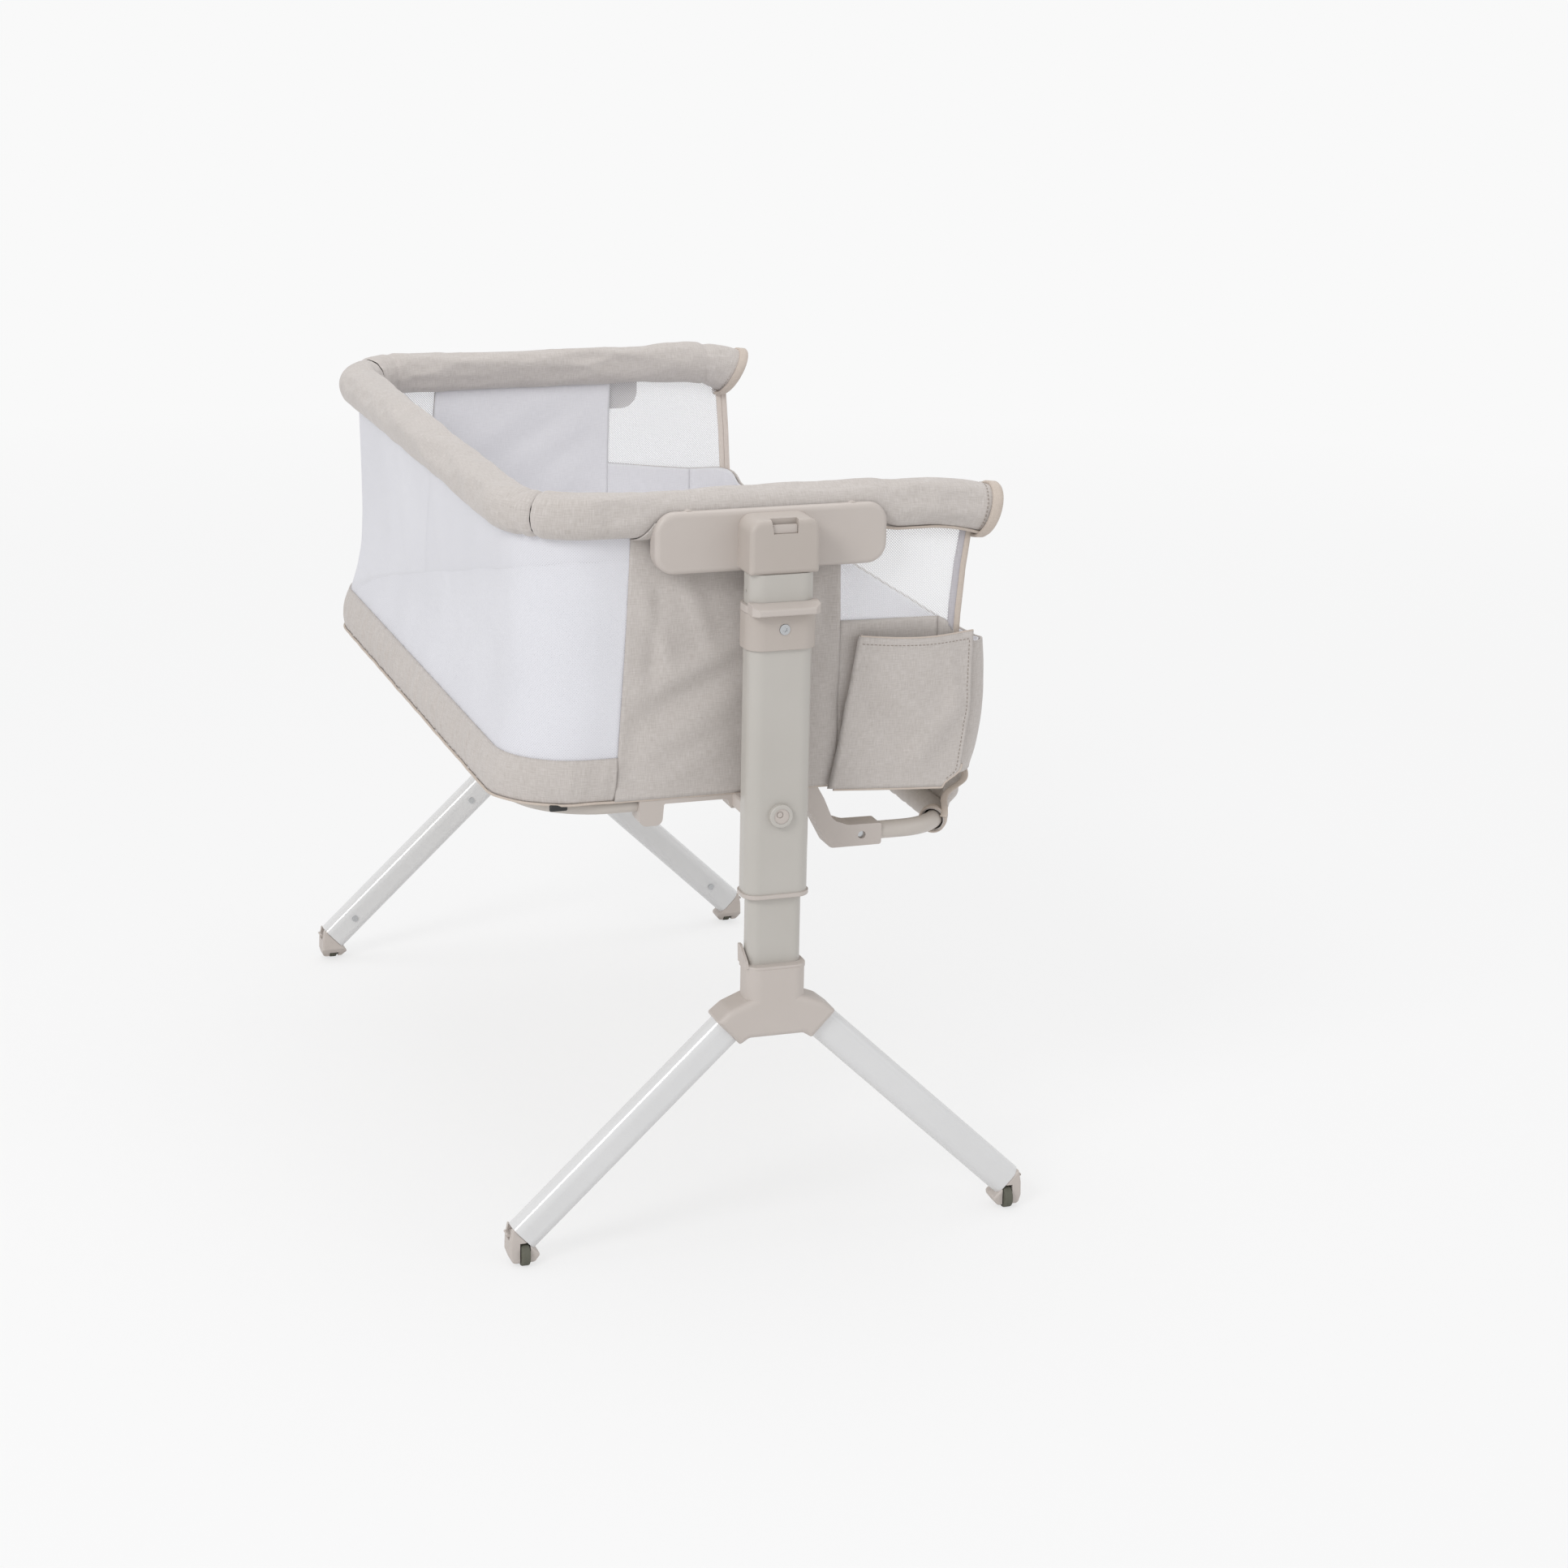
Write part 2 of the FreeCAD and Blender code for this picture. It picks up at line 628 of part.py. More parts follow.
def cap_rim(edge):
    """Outline edges of the foot cap on its front and back, other than the joint with the leg."""
    box = edge.BoundBox
    on_face = box.YMax < -cap_front + 0.01 or box.YMin > -cap_back - 0.01
    return on_face and not (edge.Length > 30)


fillet(cap_body, cap_block, cap_rim, 2.5)
plug = new_body("near_left_plug")
pad(plug, "XY", box_outline(0, 0, size("leg_height") - 2 * skin, size("leg_depth") - 2 * skin,
                            size("leg_round") - skin), "0", "19")
plug.Placement = Placement(leg_end - direction * 18, turn)
doc.recompute()
cap_whole = fuse("near_left_cap_whole", [cap_body, plug])
wheel_z = size("wheel_radius")
slot_half = size("wheel_width") / 2 + 1.1
wheel_slot = block("near_left_wheel_slot", (foot_x - slot_half, -cap_front - 5, -1),
                   (foot_x + slot_half, -size("wheel_y") + wheel_z + 3, 2 * wheel_z + 2.5))
brake_slot = block("near_left_brake_slot", (-size("brake_x") - 12, -size("leg_y") - 7, size("brake_z") - 4.2),
                   (-size("brake_x") + 4.1, -size("leg_y") + 7, size("brake_z") + 20))
axle_hole = rod("near_left_axle_hole", (foot_x - 14, -size("wheel_y"), wheel_z), (1, 0, 0),
                "Sizes.axle_radius", "28")
brake_hole = rod("near_left_brake_hole", (-size("brake_x"), -size("leg_y") + 10.2, size("brake_z")), (0, -1, 0),
                 "1.6", "20.4")
heel = solid("near_left_heel", Part.Face(Part.makePolygon([
    Vector(foot_x - 30, 1 - cap_back, -1), Vector(foot_x - 30, 1 - cap_back, 18),
    Vector(foot_x - 30, -10 - cap_back, 6), Vector(foot_x - 30, -12 - cap_back, -1),
    Vector(foot_x - 30, 1 - cap_back, -1)])).extrude(Vector(60, 0, 0)))
cap_spaces = fuse("near_left_cap_spaces", [wheel_slot, brake_slot, axle_hole, brake_hole, heel])
cap = cut("near_left_cap", cap_whole, cap_spaces)
right_cap = mirror("near_right_cap", cap, ACROSS)
both_ends(cap, "left_foot_cap")
both_ends(right_cap, "right_foot_cap")

# ---------------------------------------------------------------- wheels, axle pins, brake tabs
wheel = new_body("near_left_wheel")
tread = pad(wheel, "YZ", circle(-size("wheel_y"), wheel_z, wheel_z)
            + circle(-size("wheel_y"), wheel_z, size("axle_radius") + 0.08),
            "-Sizes.foot_x - Sizes.wheel_width / 2", "Sizes.wheel_width")
fillet(wheel, tread, lambda e: e.BoundBox.ZLength > 20 and e.BoundBox.XLength < 0.1, 1.8)
right_wheel = mirror("near_right_wheel", wheel, ACROSS)
both_ends(wheel, "left_wheel")
both_ends(right_wheel, "right_wheel")

pin = rod("near_left_axle", (foot_x - 14, -size("wheel_y"), wheel_z), (1, 0, 0), "Sizes.axle_radius", "28")
axle_pins = group("near_axle_pins", [pin, mirror("near_right_axle", pin, ACROSS)])

knuckle_start = (-size("brake_x"), -size("leg_y") + size("brake_length") / 2, size("brake_z"))
knuckle = rod("near_left_knuckle", knuckle_start, (0, -1, 0), "Sizes.brake_radius", "Sizes.brake_length")
trunnion = rod("near_left_trunnion", (-size("brake_x"), -size("leg_y") + 10, size("brake_z")), (0, -1, 0),
               "1.5", "20")
paddle = new_body("near_left_paddle")
pad(paddle, "XZ", rounded([(0, -1.5), (8, -1.2), (9.2, 0.1), (8, 1.5), (0, 1.5)], [0, 0.8, 0.8, 0.8, 0]),
    "-Sizes.brake_length / 2", "Sizes.brake_length")
paddle.Placement = Placement(Vector(-size("brake_x"), -size("leg_y"), size("brake_z")),
                             Rotation(Vector(0, 1, 0), -166))
doc.recompute()
brake = fuse("near_left_brake", [knuckle, trunnion, paddle])
right_brake = mirror("near_right_brake", brake, ACROSS)
both_ends(brake, "left_brake_tab")
both_ends(right_brake, "right_brake_tab")

# ---------------------------------------------------------------- screws
leg_back = size("leg_y") - size("leg_depth") / 2
leg_screws = []
for position in SCREWS_ALONG_LEG:
    at = leg_start + direction * position
    head = rod("leg_screw_head_%d" % position, (at.x, -leg_back, at.z), (0, 1, 0), "4", "1.8")
    shank = rod("leg_screw_shank_%d" % position, (at.x, -leg_back - skin, at.z), (0, 1, 0), "2", "3")
    leg_screws.append(fuse("leg_screw_%d" % position, [head, shank]))
left_holes = group("near_left_screw_set", leg_screws)
right_holes = mirror("near_right_screw_set", left_holes, ACROSS)
both_ends(group("near_fasteners", [left_holes, right_holes, axle_pins]), "stand_fasteners")

collar_head = rod("collar_screw_head", (0, -collar_front + 1.2, size("collar_screw_z")), (0, -1, 0), "5.8", "2")
collar_shank = rod("collar_screw_shank", (0, -sleeve_front, size("collar_screw_z")), (0, -1, 0), "3", "3")
star = []
for i in range(12):
    star_reach = 3.1 if i % 2 else 2.1
    star.append((star_reach * math.cos(i * math.pi / 6), star_reach * math.sin(i * math.pi / 6)))
star_recess = solid("near_star_recess", slab([(x, size("collar_screw_z") + z) for x, z in star],
                                             -collar_front - 1, -collar_front + 0.6))
collar_screw = cut("near_collar_screw", fuse("near_collar_screw_body", [collar_head, collar_shank]), star_recess)
collar_screws = group("collar_screws", [collar_screw, mirror("far_collar_screw", collar_screw, ALONG)])
nodes.append(collar_screws)

# ---------------------------------------------------------------- top rail
rail_x, rail_y, rail_z = size("rail_x"), size("rail_y"), size("rail_z")
bend = size("rail_bend")
diagonal = bend / math.sqrt(2)
bend_x, bend_y = -rail_x + bend, rail_y - bend


def line(a, b):
    """Straight edge between two points."""
    return Part.LineSegment(Vector(*a), Vector(*b)).toShape()


def bow(a, b, c):
    """Circular edge through three points."""
    return Part.Arc(Vector(*a), Vector(*b), Vector(*c)).toShape()


def u_path(end_x, side_x, side_y, radius, z):
    """U-shaped centre line, open towards +X when side_x is negative and towards -X otherwise."""
    way = -1 if side_x < 0 else 1
    inner_x, inner_y = side_x - way * radius, side_y - radius
    k = radius / math.sqrt(2)
    return Part.Wire([
        line((end_x, -side_y, z), (inner_x, -side_y, z)),
        bow((inner_x, -side_y, z), (inner_x + way * k, -inner_y - k, z), (side_x, -inner_y, z)),
        line((side_x, -inner_y, z), (side_x, inner_y, z)),
        bow((side_x, inner_y, z), (inner_x + way * k, inner_y + k, z), (inner_x, side_y, z)),
        line((inner_x, side_y, z), (end_x, side_y, z)),
    ])


rail_path = u_path(size("rail_tube_end"), -rail_x, rail_y, bend, rail_z)
rail_radius = size("rail_tube_radius")
rail_tube = pipe(rail_path, rail_radius).cut(pipe(rail_path, rail_radius - size("rail_tube_wall")))
nodes.append(solid("rail_tube", rail_tube))

pad_end, droop, straight = size("pad_end"), size("pad_droop"), size("pad_straight_end")
corner = (bend_x - diagonal, -bend_y - diagonal, rail_z)
end_path = Part.Wire([
    line((straight, -rail_y, rail_z), (bend_x, -rail_y, rail_z)),
    bow((bend_x, -rail_y, rail_z),
        (bend_x - bend * math.sin(math.pi / 8), -bend_y - bend * math.cos(math.pi / 8), rail_z), corner),
])


def drooping(radius):
    """Limp end of the rail sleeve: upright rings that sink towards the open end."""
    rings = []
    for share in (0, 0.12, 0.5, 1):
        centre = Vector(straight + share * (pad_end - straight), -rail_y, rail_z - droop * share ** 2)
        rings.append(Part.Wire([Part.Circle(centre, Vector(1, 0, 0), radius).toShape()]))
    return Part.makeLoft(rings, True, False)


side_path = Part.Wire([
    bow(corner, (bend_x - bend * math.cos(math.pi / 8), -bend_y - bend * math.sin(math.pi / 8), rail_z),
        (-rail_x, -bend_y, rail_z)),
    line((-rail_x, -bend_y, rail_z), (-rail_x, bend_y, rail_z)),
    bow((-rail_x, bend_y, rail_z),
        (bend_x - bend * math.cos(math.pi / 8), bend_y + bend * math.sin(math.pi / 8), rail_z),
        (corner[0], -corner[1], rail_z)),
])
foam = size("pad_radius")
bore = size("sleeve_bore")
tube_end = size("rail_tube_end")
near_pad = pipe(end_path, foam).fuse(drooping(foam)).removeSplitter().cut(pipe(rail_path, rail_radius))
empty = Part.makeCylinder(bore, straight - tube_end, Vector(tube_end, -rail_y, rail_z), Vector(1, 0, 0))
near_pad = near_pad.cut(empty.fuse(drooping(bore)))
for side in (-1, 1):
    near_pad = near_pad.cut(Part.makeCylinder(size("boss_radius"), 30,
                                              Vector(side * size("boss_x"), -rail_y, rail_z), Vector(0, -1, 0)))
both_ends(solid("near_rail_pad", near_pad), "rail_pad")
nodes.append(solid("side_rail_pad", pipe(side_path, foam).cut(pipe(rail_path, rail_radius))))

binding = new_body("near_rail_binding")
pad(binding, "YZ", circle(-rail_y, rail_z - droop, foam + 0.8) + circle(-rail_y, rail_z - droop, foam - 5),
    "Sizes.pad_end + 0.3", "Sizes.binding_end - Sizes.pad_end")

# ---------------------------------------------------------------- fabric walls
# One row per height above the board's underside: then how far the left wall stands outside the rail's line,
# the bed side wall outside its own, the end wall outside the rail's, and the left and right corner radii.
floor_z, wall_top = size("floor_z"), size("wall_top")
bed_side = size("bed_side_x")
ROW_OFFSETS = [
    (0, 24, 1.5, 6, 88, 60), (8, 24, 1.5, 6.5, 88, 60), (26, 21, 1, 7, 86, 58), (49, 14, 1, 7, 84, 56),
    (74, 5, 0.5, 7, 82, 54), (108, -2, 0, 7, 80, 50), (152, -4, 0, 7, 79, 46), (202, -3, 0, 6.5, 79, 42),
    (247, -1, 0, 4, 80, 39), (wall_top - floor_z - 0.3, 1.25, 0, 1.25, 81.25, 37),
]
WALL_ROWS = [(floor_z + height, rail_x + left, bed_side + right, rail_y + end, corner_left, corner_right)
             for height, left, right, end, corner_left, corner_right in ROW_OFFSETS]


def wall_loft(inset):
    """Solid inside the fabric's outline, drawn in by an inset."""
    rings = []
    for z, left, right, end, corner_left, corner_right in WALL_ROWS:
        points = [(-left + inset, -end + inset), (right - inset, -end + inset), (right - inset, end - inset),
                  (-left + inset, end - inset)]
        radii = [corner_left - inset, corner_right - inset, corner_right - inset, corner_left - inset]
        rings.append(wire(rounded(points, radii), z))
    return Part.makeLoft(rings, True, True)


cloth = size("cloth")
skin_ring = wall_loft(0).cut(wall_loft(cloth))
band_top, low_top = size("band_top"), size("low_wall_top")
window_x, window_right = size("window_x"), size("window_right")


def panel_edge(z):
    """Left edge of the linen end panel, which widens towards the hem."""
    return -148 - (wall_top - z) * 17 / (wall_top - floor_z)


edge_low, edge_band, edge_top = panel_edge(floor_z), panel_edge(band_top), panel_edge(wall_top)
mesh_zone = slab([(-400, band_top), (edge_band, band_top), (edge_top, wall_top), (-400, wall_top)], -600, 600)
band_zone = slab([(-400, floor_z), (edge_low, floor_z), (edge_band, band_top), (-400, band_top)], -600, 600)
low_corner = low_top - size("low_wall_slope")
end_zone = slab([(edge_low, floor_z), (202, floor_z), (202, low_corner), (window_x, low_top),
                 (window_x, wall_top), (edge_top, wall_top)], -600, -200)
window_zone = slab([(window_x, low_top), (202, low_corner), (window_right, low_corner),
                    (window_right, wall_top), (window_x, wall_top)], -600, -200)
side_mesh = solid("side_mesh", skin_ring.common(mesh_zone))
nodes.append(solid("hem_band", skin_ring.common(band_zone)))
end_panel = solid("near_end_panel", skin_ring.common(end_zone))
both_ends(end_panel, "end_panel")
window = solid("near_window", skin_ring.common(window_zone))
nodes.append(group("mesh_panels", [side_mesh, window, mirror("far_window", window, ALONG)]))

low_middle = size("low_wall_sag")
sag_curve = Part.BSplineCurve()
sag_curve.interpolate([Vector(0, y, z) for y, z in (
    (-460, low_corner), (-441, low_corner - 3), (-415, low_middle + 12), (-340, low_middle + 3), (0, low_middle),
    (340, low_middle + 3), (415, low_middle + 12), (441, low_corner - 3), (460, low_corner))])
sag_frame = Part.Wire([sag_curve.toShape(), line((0, 460, low_corner), (0, 460, floor_z)),
                       line((0, 460, floor_z), (0, -460, floor_z)),
                       line((0, -460, floor_z), (0, -460, low_corner))])
side_zone = Part.Face(sag_frame).extrude(Vector(150, 0, 0))
side_zone.translate(Vector(202, 0, 0))
nodes.append(solid("bed_side_wall", skin_ring.common(side_zone)))

# ---------------------------------------------------------------- zip strips beside the windows
strip = new_body("near_zip_strip")
pad(strip, "XZ", rounded([(window_right, low_corner), (window_right + 9, low_corner),
                          (window_right + 7, low_top + 55), (window_right + 9, wall_top - 4),
                          (window_right, wall_top - 4)], [0, 2, 40, 2, 0]),
    "Sizes.rail_y + 0.2", "3.2")
near_tapes = group("near_tapes", [binding, strip])
nodes.append(group("edge_tapes", [near_tapes, mirror("far_tapes", near_tapes, ALONG)]))

# ---------------------------------------------------------------- end pocket
pocket_rows = [(floor_z + 2, 86, 236, 1.5), (floor_z + 47, 90, 239, 7), (floor_z + 102, 94, 243, 10.5),
               (floor_z + 164, 100, 246, 13)]


def pocket_ring(z, left, right, bulge):
    """Closed slice of the pocket front: it leaves the end panel, bows out and comes back."""
    base = -rail_y - 7.1
    middle = (left + right) / 2
    outer = Part.Arc(Vector(left, base, z), Vector(middle, base - bulge - 2, z), Vector(right, base, z))
    inner_arc = Part.Arc(Vector(right - 2.5, base, z), Vector(middle, base - bulge, z),
                         Vector(left + 2.5, base, z))
    return Part.Wire([outer.toShape(), line((right, base, z), (right - 2.5, base, z)), inner_arc.toShape(),
                      line((left + 2.5, base, z), (left, base, z))])


nodes.append(solid("end_pocket", Part.makeLoft([pocket_ring(*row) for row in pocket_rows], True, False)))

# ---------------------------------------------------------------- base board and mattress
board = new_body("base_board")
pad(board, "XY", rounded([(-rail_x - 20, -rail_y - 2), (bed_side - 2, -rail_y - 2), (bed_side - 2, rail_y + 2),
                          (-rail_x - 20, rail_y + 2)], [84, 56, 56, 84]),
    "Sizes.floor_z", "Sizes.board_thick")
nodes.append(board)

board_top = floor_z + size("board_thick")
mattress_rows = [(board_top, 10), (board_top + 5, 3.5), (board_top + 13, 0), (board_top + 33, 0),
                 (board_top + 41, 3.5), (board_top + 45.5, 12), (size("mattress_top"), 70)]
mattress_rings = []
head_side, foot_side, mattress_y = -rail_x - 5, bed_side - 8, rail_y - 5
for z, inset in mattress_rows:
    low_x, high_x, reach_y = head_side + inset, foot_side - inset, mattress_y - inset
    corners = [(low_x, -reach_y), (high_x, -reach_y), (high_x, reach_y), (low_x, reach_y)]
    mattress_rings.append(wire(rounded(corners, [max(76 - inset, 12)] * 4), z))
nodes.append(solid("mattress", Part.makeLoft(mattress_rings, True, True)))

# ---------------------------------------------------------------- underframe
base_path = u_path(-size("base_tube_end"), -size("base_tube_x"), size("base_tube_y"), size("base_tube_bend"),
                   size("base_tube_z"))
base_radius = size("base_tube_radius")
base_inner = base_radius - size("base_tube_wall")
base_tube = pipe(base_path, base_radius).cut(pipe(base_path, base_inner))
nodes.append(solid("base_tube", base_tube))

tube_y, tube_z, bar_z = size("base_tube_y"), size("base_tube_z"), size("bar_z")
bracket_body = new_body("near_bracket_body")
spigot_x = -size("base_tube_end")
bracket_outline = rounded([
    (spigot_x, floor_z), (66, floor_z), (75, floor_z - 16), (86, floor_z - 42), (104, floor_z - 48.7),
    (143, bar_z + 12.2), (143, bar_z - 12.2), (82, bar_z - 12.2), (62, floor_z - 36), (50, floor_z - 18),
    (-33, floor_z - 18), (-37, floor_z - 7), (-109, floor_z - 7), (-111, floor_z - 31),
    (spigot_x, floor_z - 31)],
    [2, 6, 10, 14, 20, 3, 3, 9, 8, 6, 2, 2, 2, 8, 9])
pad(bracket_body, "XZ", bracket_outline, "Sizes.base_tube_y - Sizes.bracket_depth / 2", "Sizes.bracket_depth")
pad(bracket_body, "XZ", box_outline(0, floor_z - 9, 62, 16, 3), "Sizes.base_tube_y",
    "Sizes.post_y - Sizes.sleeve_depth / 2 - Sizes.base_tube_y")
pocket(bracket_body, "XZ", circle(size("snap_x"), bar_z, 4.4), "Sizes.base_tube_y + Sizes.bracket_depth / 2 + 1",
       "Sizes.bracket_depth / 2")
spigot = rod("near_spigot", (-size("base_tube_end") - 28, -tube_y, tube_z), (1, 0, 0),
             "Sizes.base_tube_radius - Sizes.base_tube_wall", "30")
socket_bore = rod("near_bar_bore", (92, -tube_y, bar_z), (1, 0, 0), "Sizes.bar_radius + Sizes.slide_gap", "60")
bracket = cut("near_bracket", fuse("near_bracket_whole", [bracket_body, spigot]), socket_bore)
both_ends(bracket, "base_bracket")

bar_path = u_path(size("bar_end"), size("bar_x"), tube_y, size("bar_bend"), bar_z)
bar_radius = size("bar_radius")
u_bar = pipe(bar_path, bar_radius).cut(pipe(bar_path, bar_radius - size("bar_wall")))
for way in (-1, 1):
    u_bar = u_bar.cut(Part.makeCylinder(size("snap_radius"), 20, Vector(size("snap_x"), way * tube_y, bar_z),
                                        Vector(0, way, 0)))
nodes.append(solid("u_bar", u_bar))
snap = rod("near_snap", (size("snap_x"), -tube_y - 4, bar_z), (0, -1, 0), "Sizes.snap_radius",
           "Sizes.bar_radius - Sizes.snap_sink")
nodes.append(group("u_bar_snap_buttons", [snap, mirror("far_snap", snap, ALONG)]))

# ---------------------------------------------------------------- lowered side panel
drop_rows = []
low_x = size("bar_x") + 10
low_z = bar_z + bar_radius + size("loop_thick") + 0.5
wall_face = WALL_ROWS[0][2] + 0.3
seam_z, belly_z = floor_z + 14, floor_z - 6
FOLDS = [(-352, 0), (-300, 2.5), (-240, -1.5), (-170, 2), (-90, -2), (0, 1.5), (90, -2), (170, 2), (240, -1.5),
         (300, 2.5), (352, 0)]
for y, fold in FOLDS:
    drop_rows.append(Part.makePolygon([
        Vector(wall_face, y, seam_z), Vector(wall_face + 2.7, y, seam_z),
        Vector(wall_face + 6 + fold, y, belly_z),
        Vector(low_x + 2.8 + fold * 1.5, y, low_z), Vector(low_x + fold * 1.5, y, low_z),
        Vector(wall_face + 3 + fold, y, belly_z - 0.5), Vector(wall_face, y, seam_z)]))
nodes.append(solid("drop_panel", Part.makeLoft(drop_rows, True, False)))

loop_ring = rod("drop_panel_loop", (size("bar_x"), -size("loop_half"), bar_z), (0, 1, 0),
                "Sizes.bar_radius + Sizes.loop_thick", "2 * Sizes.loop_half")
loop_core = rod("loop_core", (size("bar_x"), -size("loop_half") - 5, bar_z), (0, 1, 0), "Sizes.bar_radius",
                "2 * Sizes.loop_half + 10")
nodes.append(cut("drop_loop", loop_ring, loop_core))

# ---------------------------------------------------------------- hem strap buckle
buckle = new_body("strap_buckle")
buckle_block = pad(buckle, "XY", box_outline(-226, -rail_y - 1.2, 20, 5, 2.4), "Sizes.floor_z - 7", "7")
fillet(buckle, buckle_block, lambda e: e.BoundBox.ZLength < 0.01, 1.6)
nodes.append(buckle)

# ---------------------------------------------------------------- check and export
doc.recompute()
for item in doc.Objects:
    if "Invalid" in item.State or "Error" in item.State:
        raise RuntimeError("%s is %s" % (item.Label, item.State))
for node in nodes:
    shape = node.Shape
    if shape.isNull() or not shape.isValid() or not shape.Solids:
        raise RuntimeError("%s has no valid solid" % node.Label)
    shape.exportStep("parts/%s.step" % node.Label)
print("nodes", len(nodes))
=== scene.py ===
# %% [markdown]
# # A bedside sleeper crib, dressed in cloth, paint and moulded plastic
# The crib stands on two telescoping posts, one at each end. A padded rail runs round three sides,
# and walls of linen-look cloth and open mesh hang from it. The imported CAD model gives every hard
# part and every joint. This lesson keeps the hard parts, gives them real finishes, and sews new
# cloth pieces in the places of the plain soft solids.

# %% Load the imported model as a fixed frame
import math

import bpy
import numpy as np
from mathutils import Matrix, Vector


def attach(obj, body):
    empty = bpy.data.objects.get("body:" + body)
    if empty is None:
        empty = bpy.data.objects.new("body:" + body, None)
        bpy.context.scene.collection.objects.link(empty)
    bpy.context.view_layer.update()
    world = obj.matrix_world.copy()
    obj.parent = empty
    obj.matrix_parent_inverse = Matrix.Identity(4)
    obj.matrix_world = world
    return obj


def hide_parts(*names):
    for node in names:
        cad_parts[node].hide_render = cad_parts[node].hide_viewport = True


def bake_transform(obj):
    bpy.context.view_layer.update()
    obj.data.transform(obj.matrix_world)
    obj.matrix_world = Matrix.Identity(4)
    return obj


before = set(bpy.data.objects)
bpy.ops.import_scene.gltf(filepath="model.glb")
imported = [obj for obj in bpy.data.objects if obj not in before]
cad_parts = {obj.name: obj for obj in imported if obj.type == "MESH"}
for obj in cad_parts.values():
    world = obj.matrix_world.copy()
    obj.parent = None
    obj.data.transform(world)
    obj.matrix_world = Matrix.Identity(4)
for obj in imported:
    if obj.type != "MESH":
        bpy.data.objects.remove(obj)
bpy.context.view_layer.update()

MM = 0.001

# %% [markdown]
# ## The camera
# The picture was taken from the left of the near end, a little above the rail, with a long lens.
# The place and the lens were fitted to about forty points of the photograph, so the camera is
# written as numbers and not aimed by eye. The shift keeps the lens axis where the picture has it.

# %% Camera at the photograph's viewing angle
IMAGE = 1932
FOCAL = 4153
AXIS_PIXEL = (850, 830)
yaw, pitch, roll = (math.radians(a) for a in (17.70, 14.98, -0.71))
forward = Vector((math.sin(yaw) * math.cos(pitch), math.cos(yaw) * math.cos(pitch), -math.sin(pitch)))
level = Vector((math.cos(yaw), -math.sin(yaw), 0))
down = forward.cross(level)
right_axis = math.cos(roll) * level + math.sin(roll) * down
down_axis = -math.sin(roll) * level + math.cos(roll) * down
lens = bpy.data.cameras.new("camera")
lens.sensor_width = 36
lens.lens = FOCAL * 36 / IMAGE
lens.shift_x = (IMAGE / 2 - AXIS_PIXEL[0]) / IMAGE
lens.shift_y = (AXIS_PIXEL[1] - IMAGE / 2) / IMAGE
lens.clip_end = 200
camera = bpy.data.objects.new("camera", lens)
camera.matrix_world = Matrix((
    (right_axis.x, -down_axis.x, -forward.x, -1.143),
    (right_axis.y, -down_axis.y, -forward.y, -3.777),
    (right_axis.z, -down_axis.z, -forward.z, 1.569),
    (0, 0, 0, 1)))
bpy.context.scene.collection.objects.link(camera)
bpy.context.scene.camera = camera
print("lens", round(lens.lens, 1), "mm")

# %% [markdown]
# ## Colour and nodes
# Colours are picked as sRGB hex codes, but shaders add and multiply light, which needs linear
# numbers. One function turns one into the other. A second small function adds a shader node with
# its settings and links, so that each material below reads as a list of what it is made of. All
# of them end alike, in a colour that drifts between two codes, a relief and the shader.

# %% Helpers for materials
def linear(code):
    """An sRGB hex code as the linear colour that a shader works in."""
    parts = [int(code[i:i + 2], 16) / 255 for i in (1, 3, 5)]
    return [c / 12.92 if c <= 0.04045 else ((c + 0.055) / 1.055) ** 2.4 for c in parts] + [1]


def add(tree, kind, settings=(), links=()):
    """Adds a node. Settings name its properties or input sockets, links name sockets to join."""
    made = tree.nodes.new("ShaderNode" + kind)
    for key, value in dict(settings).items():
        if isinstance(key, str) and hasattr(made, key):
            setattr(made, key, value)
        else:
            made.inputs[key].default_value = value
    for key, socket in dict(links).items():
        tree.links.new(socket, made.inputs[key])
    return made


def new_finish(name):
    """An empty material and its node tree."""
    print("finish", name)
    made = bpy.data.materials.new(name)
    made.use_nodes = True
    made.node_tree.nodes.clear()
    return made, made.node_tree


def surface(tree, codes, tone, bump, height, settings, links=()):
    """Ends a material: a colour between two codes, a relief from a height, and the shader."""
    colour = add(tree, "Mix", {"data_type": "RGBA", 6: linear(codes[0]), 7: linear(codes[1])}, {0: tone})
    relief = add(tree, "Bump", {"Strength": bump[0], "Distance": bump[1]}, {"Height": height})
    shader = add(tree, "BsdfPrincipled", settings,
                 {"Base Color": colour.outputs[2], "Normal": relief.outputs[0], **dict(links)})
    add(tree, "OutputMaterial", {}, {"Surface": shader.outputs[0]})


# %% [markdown]
# ## Woven cloth
# The cloth is a woven polyester made to look like linen: uneven yarns of a slightly darker and a
# slightly lighter beige cross each other. Real yarns are about 0.5 mm apart, which is finer than
# a pixel of the render, so they are drawn 0.9 mm apart. Each yarn is a noise that is squeezed
# across the yarn and drawn out along it, once for the warp and once for the weft. The cloth is
# matt, and its loose fibres catch light at the edges, which the sheen gives.

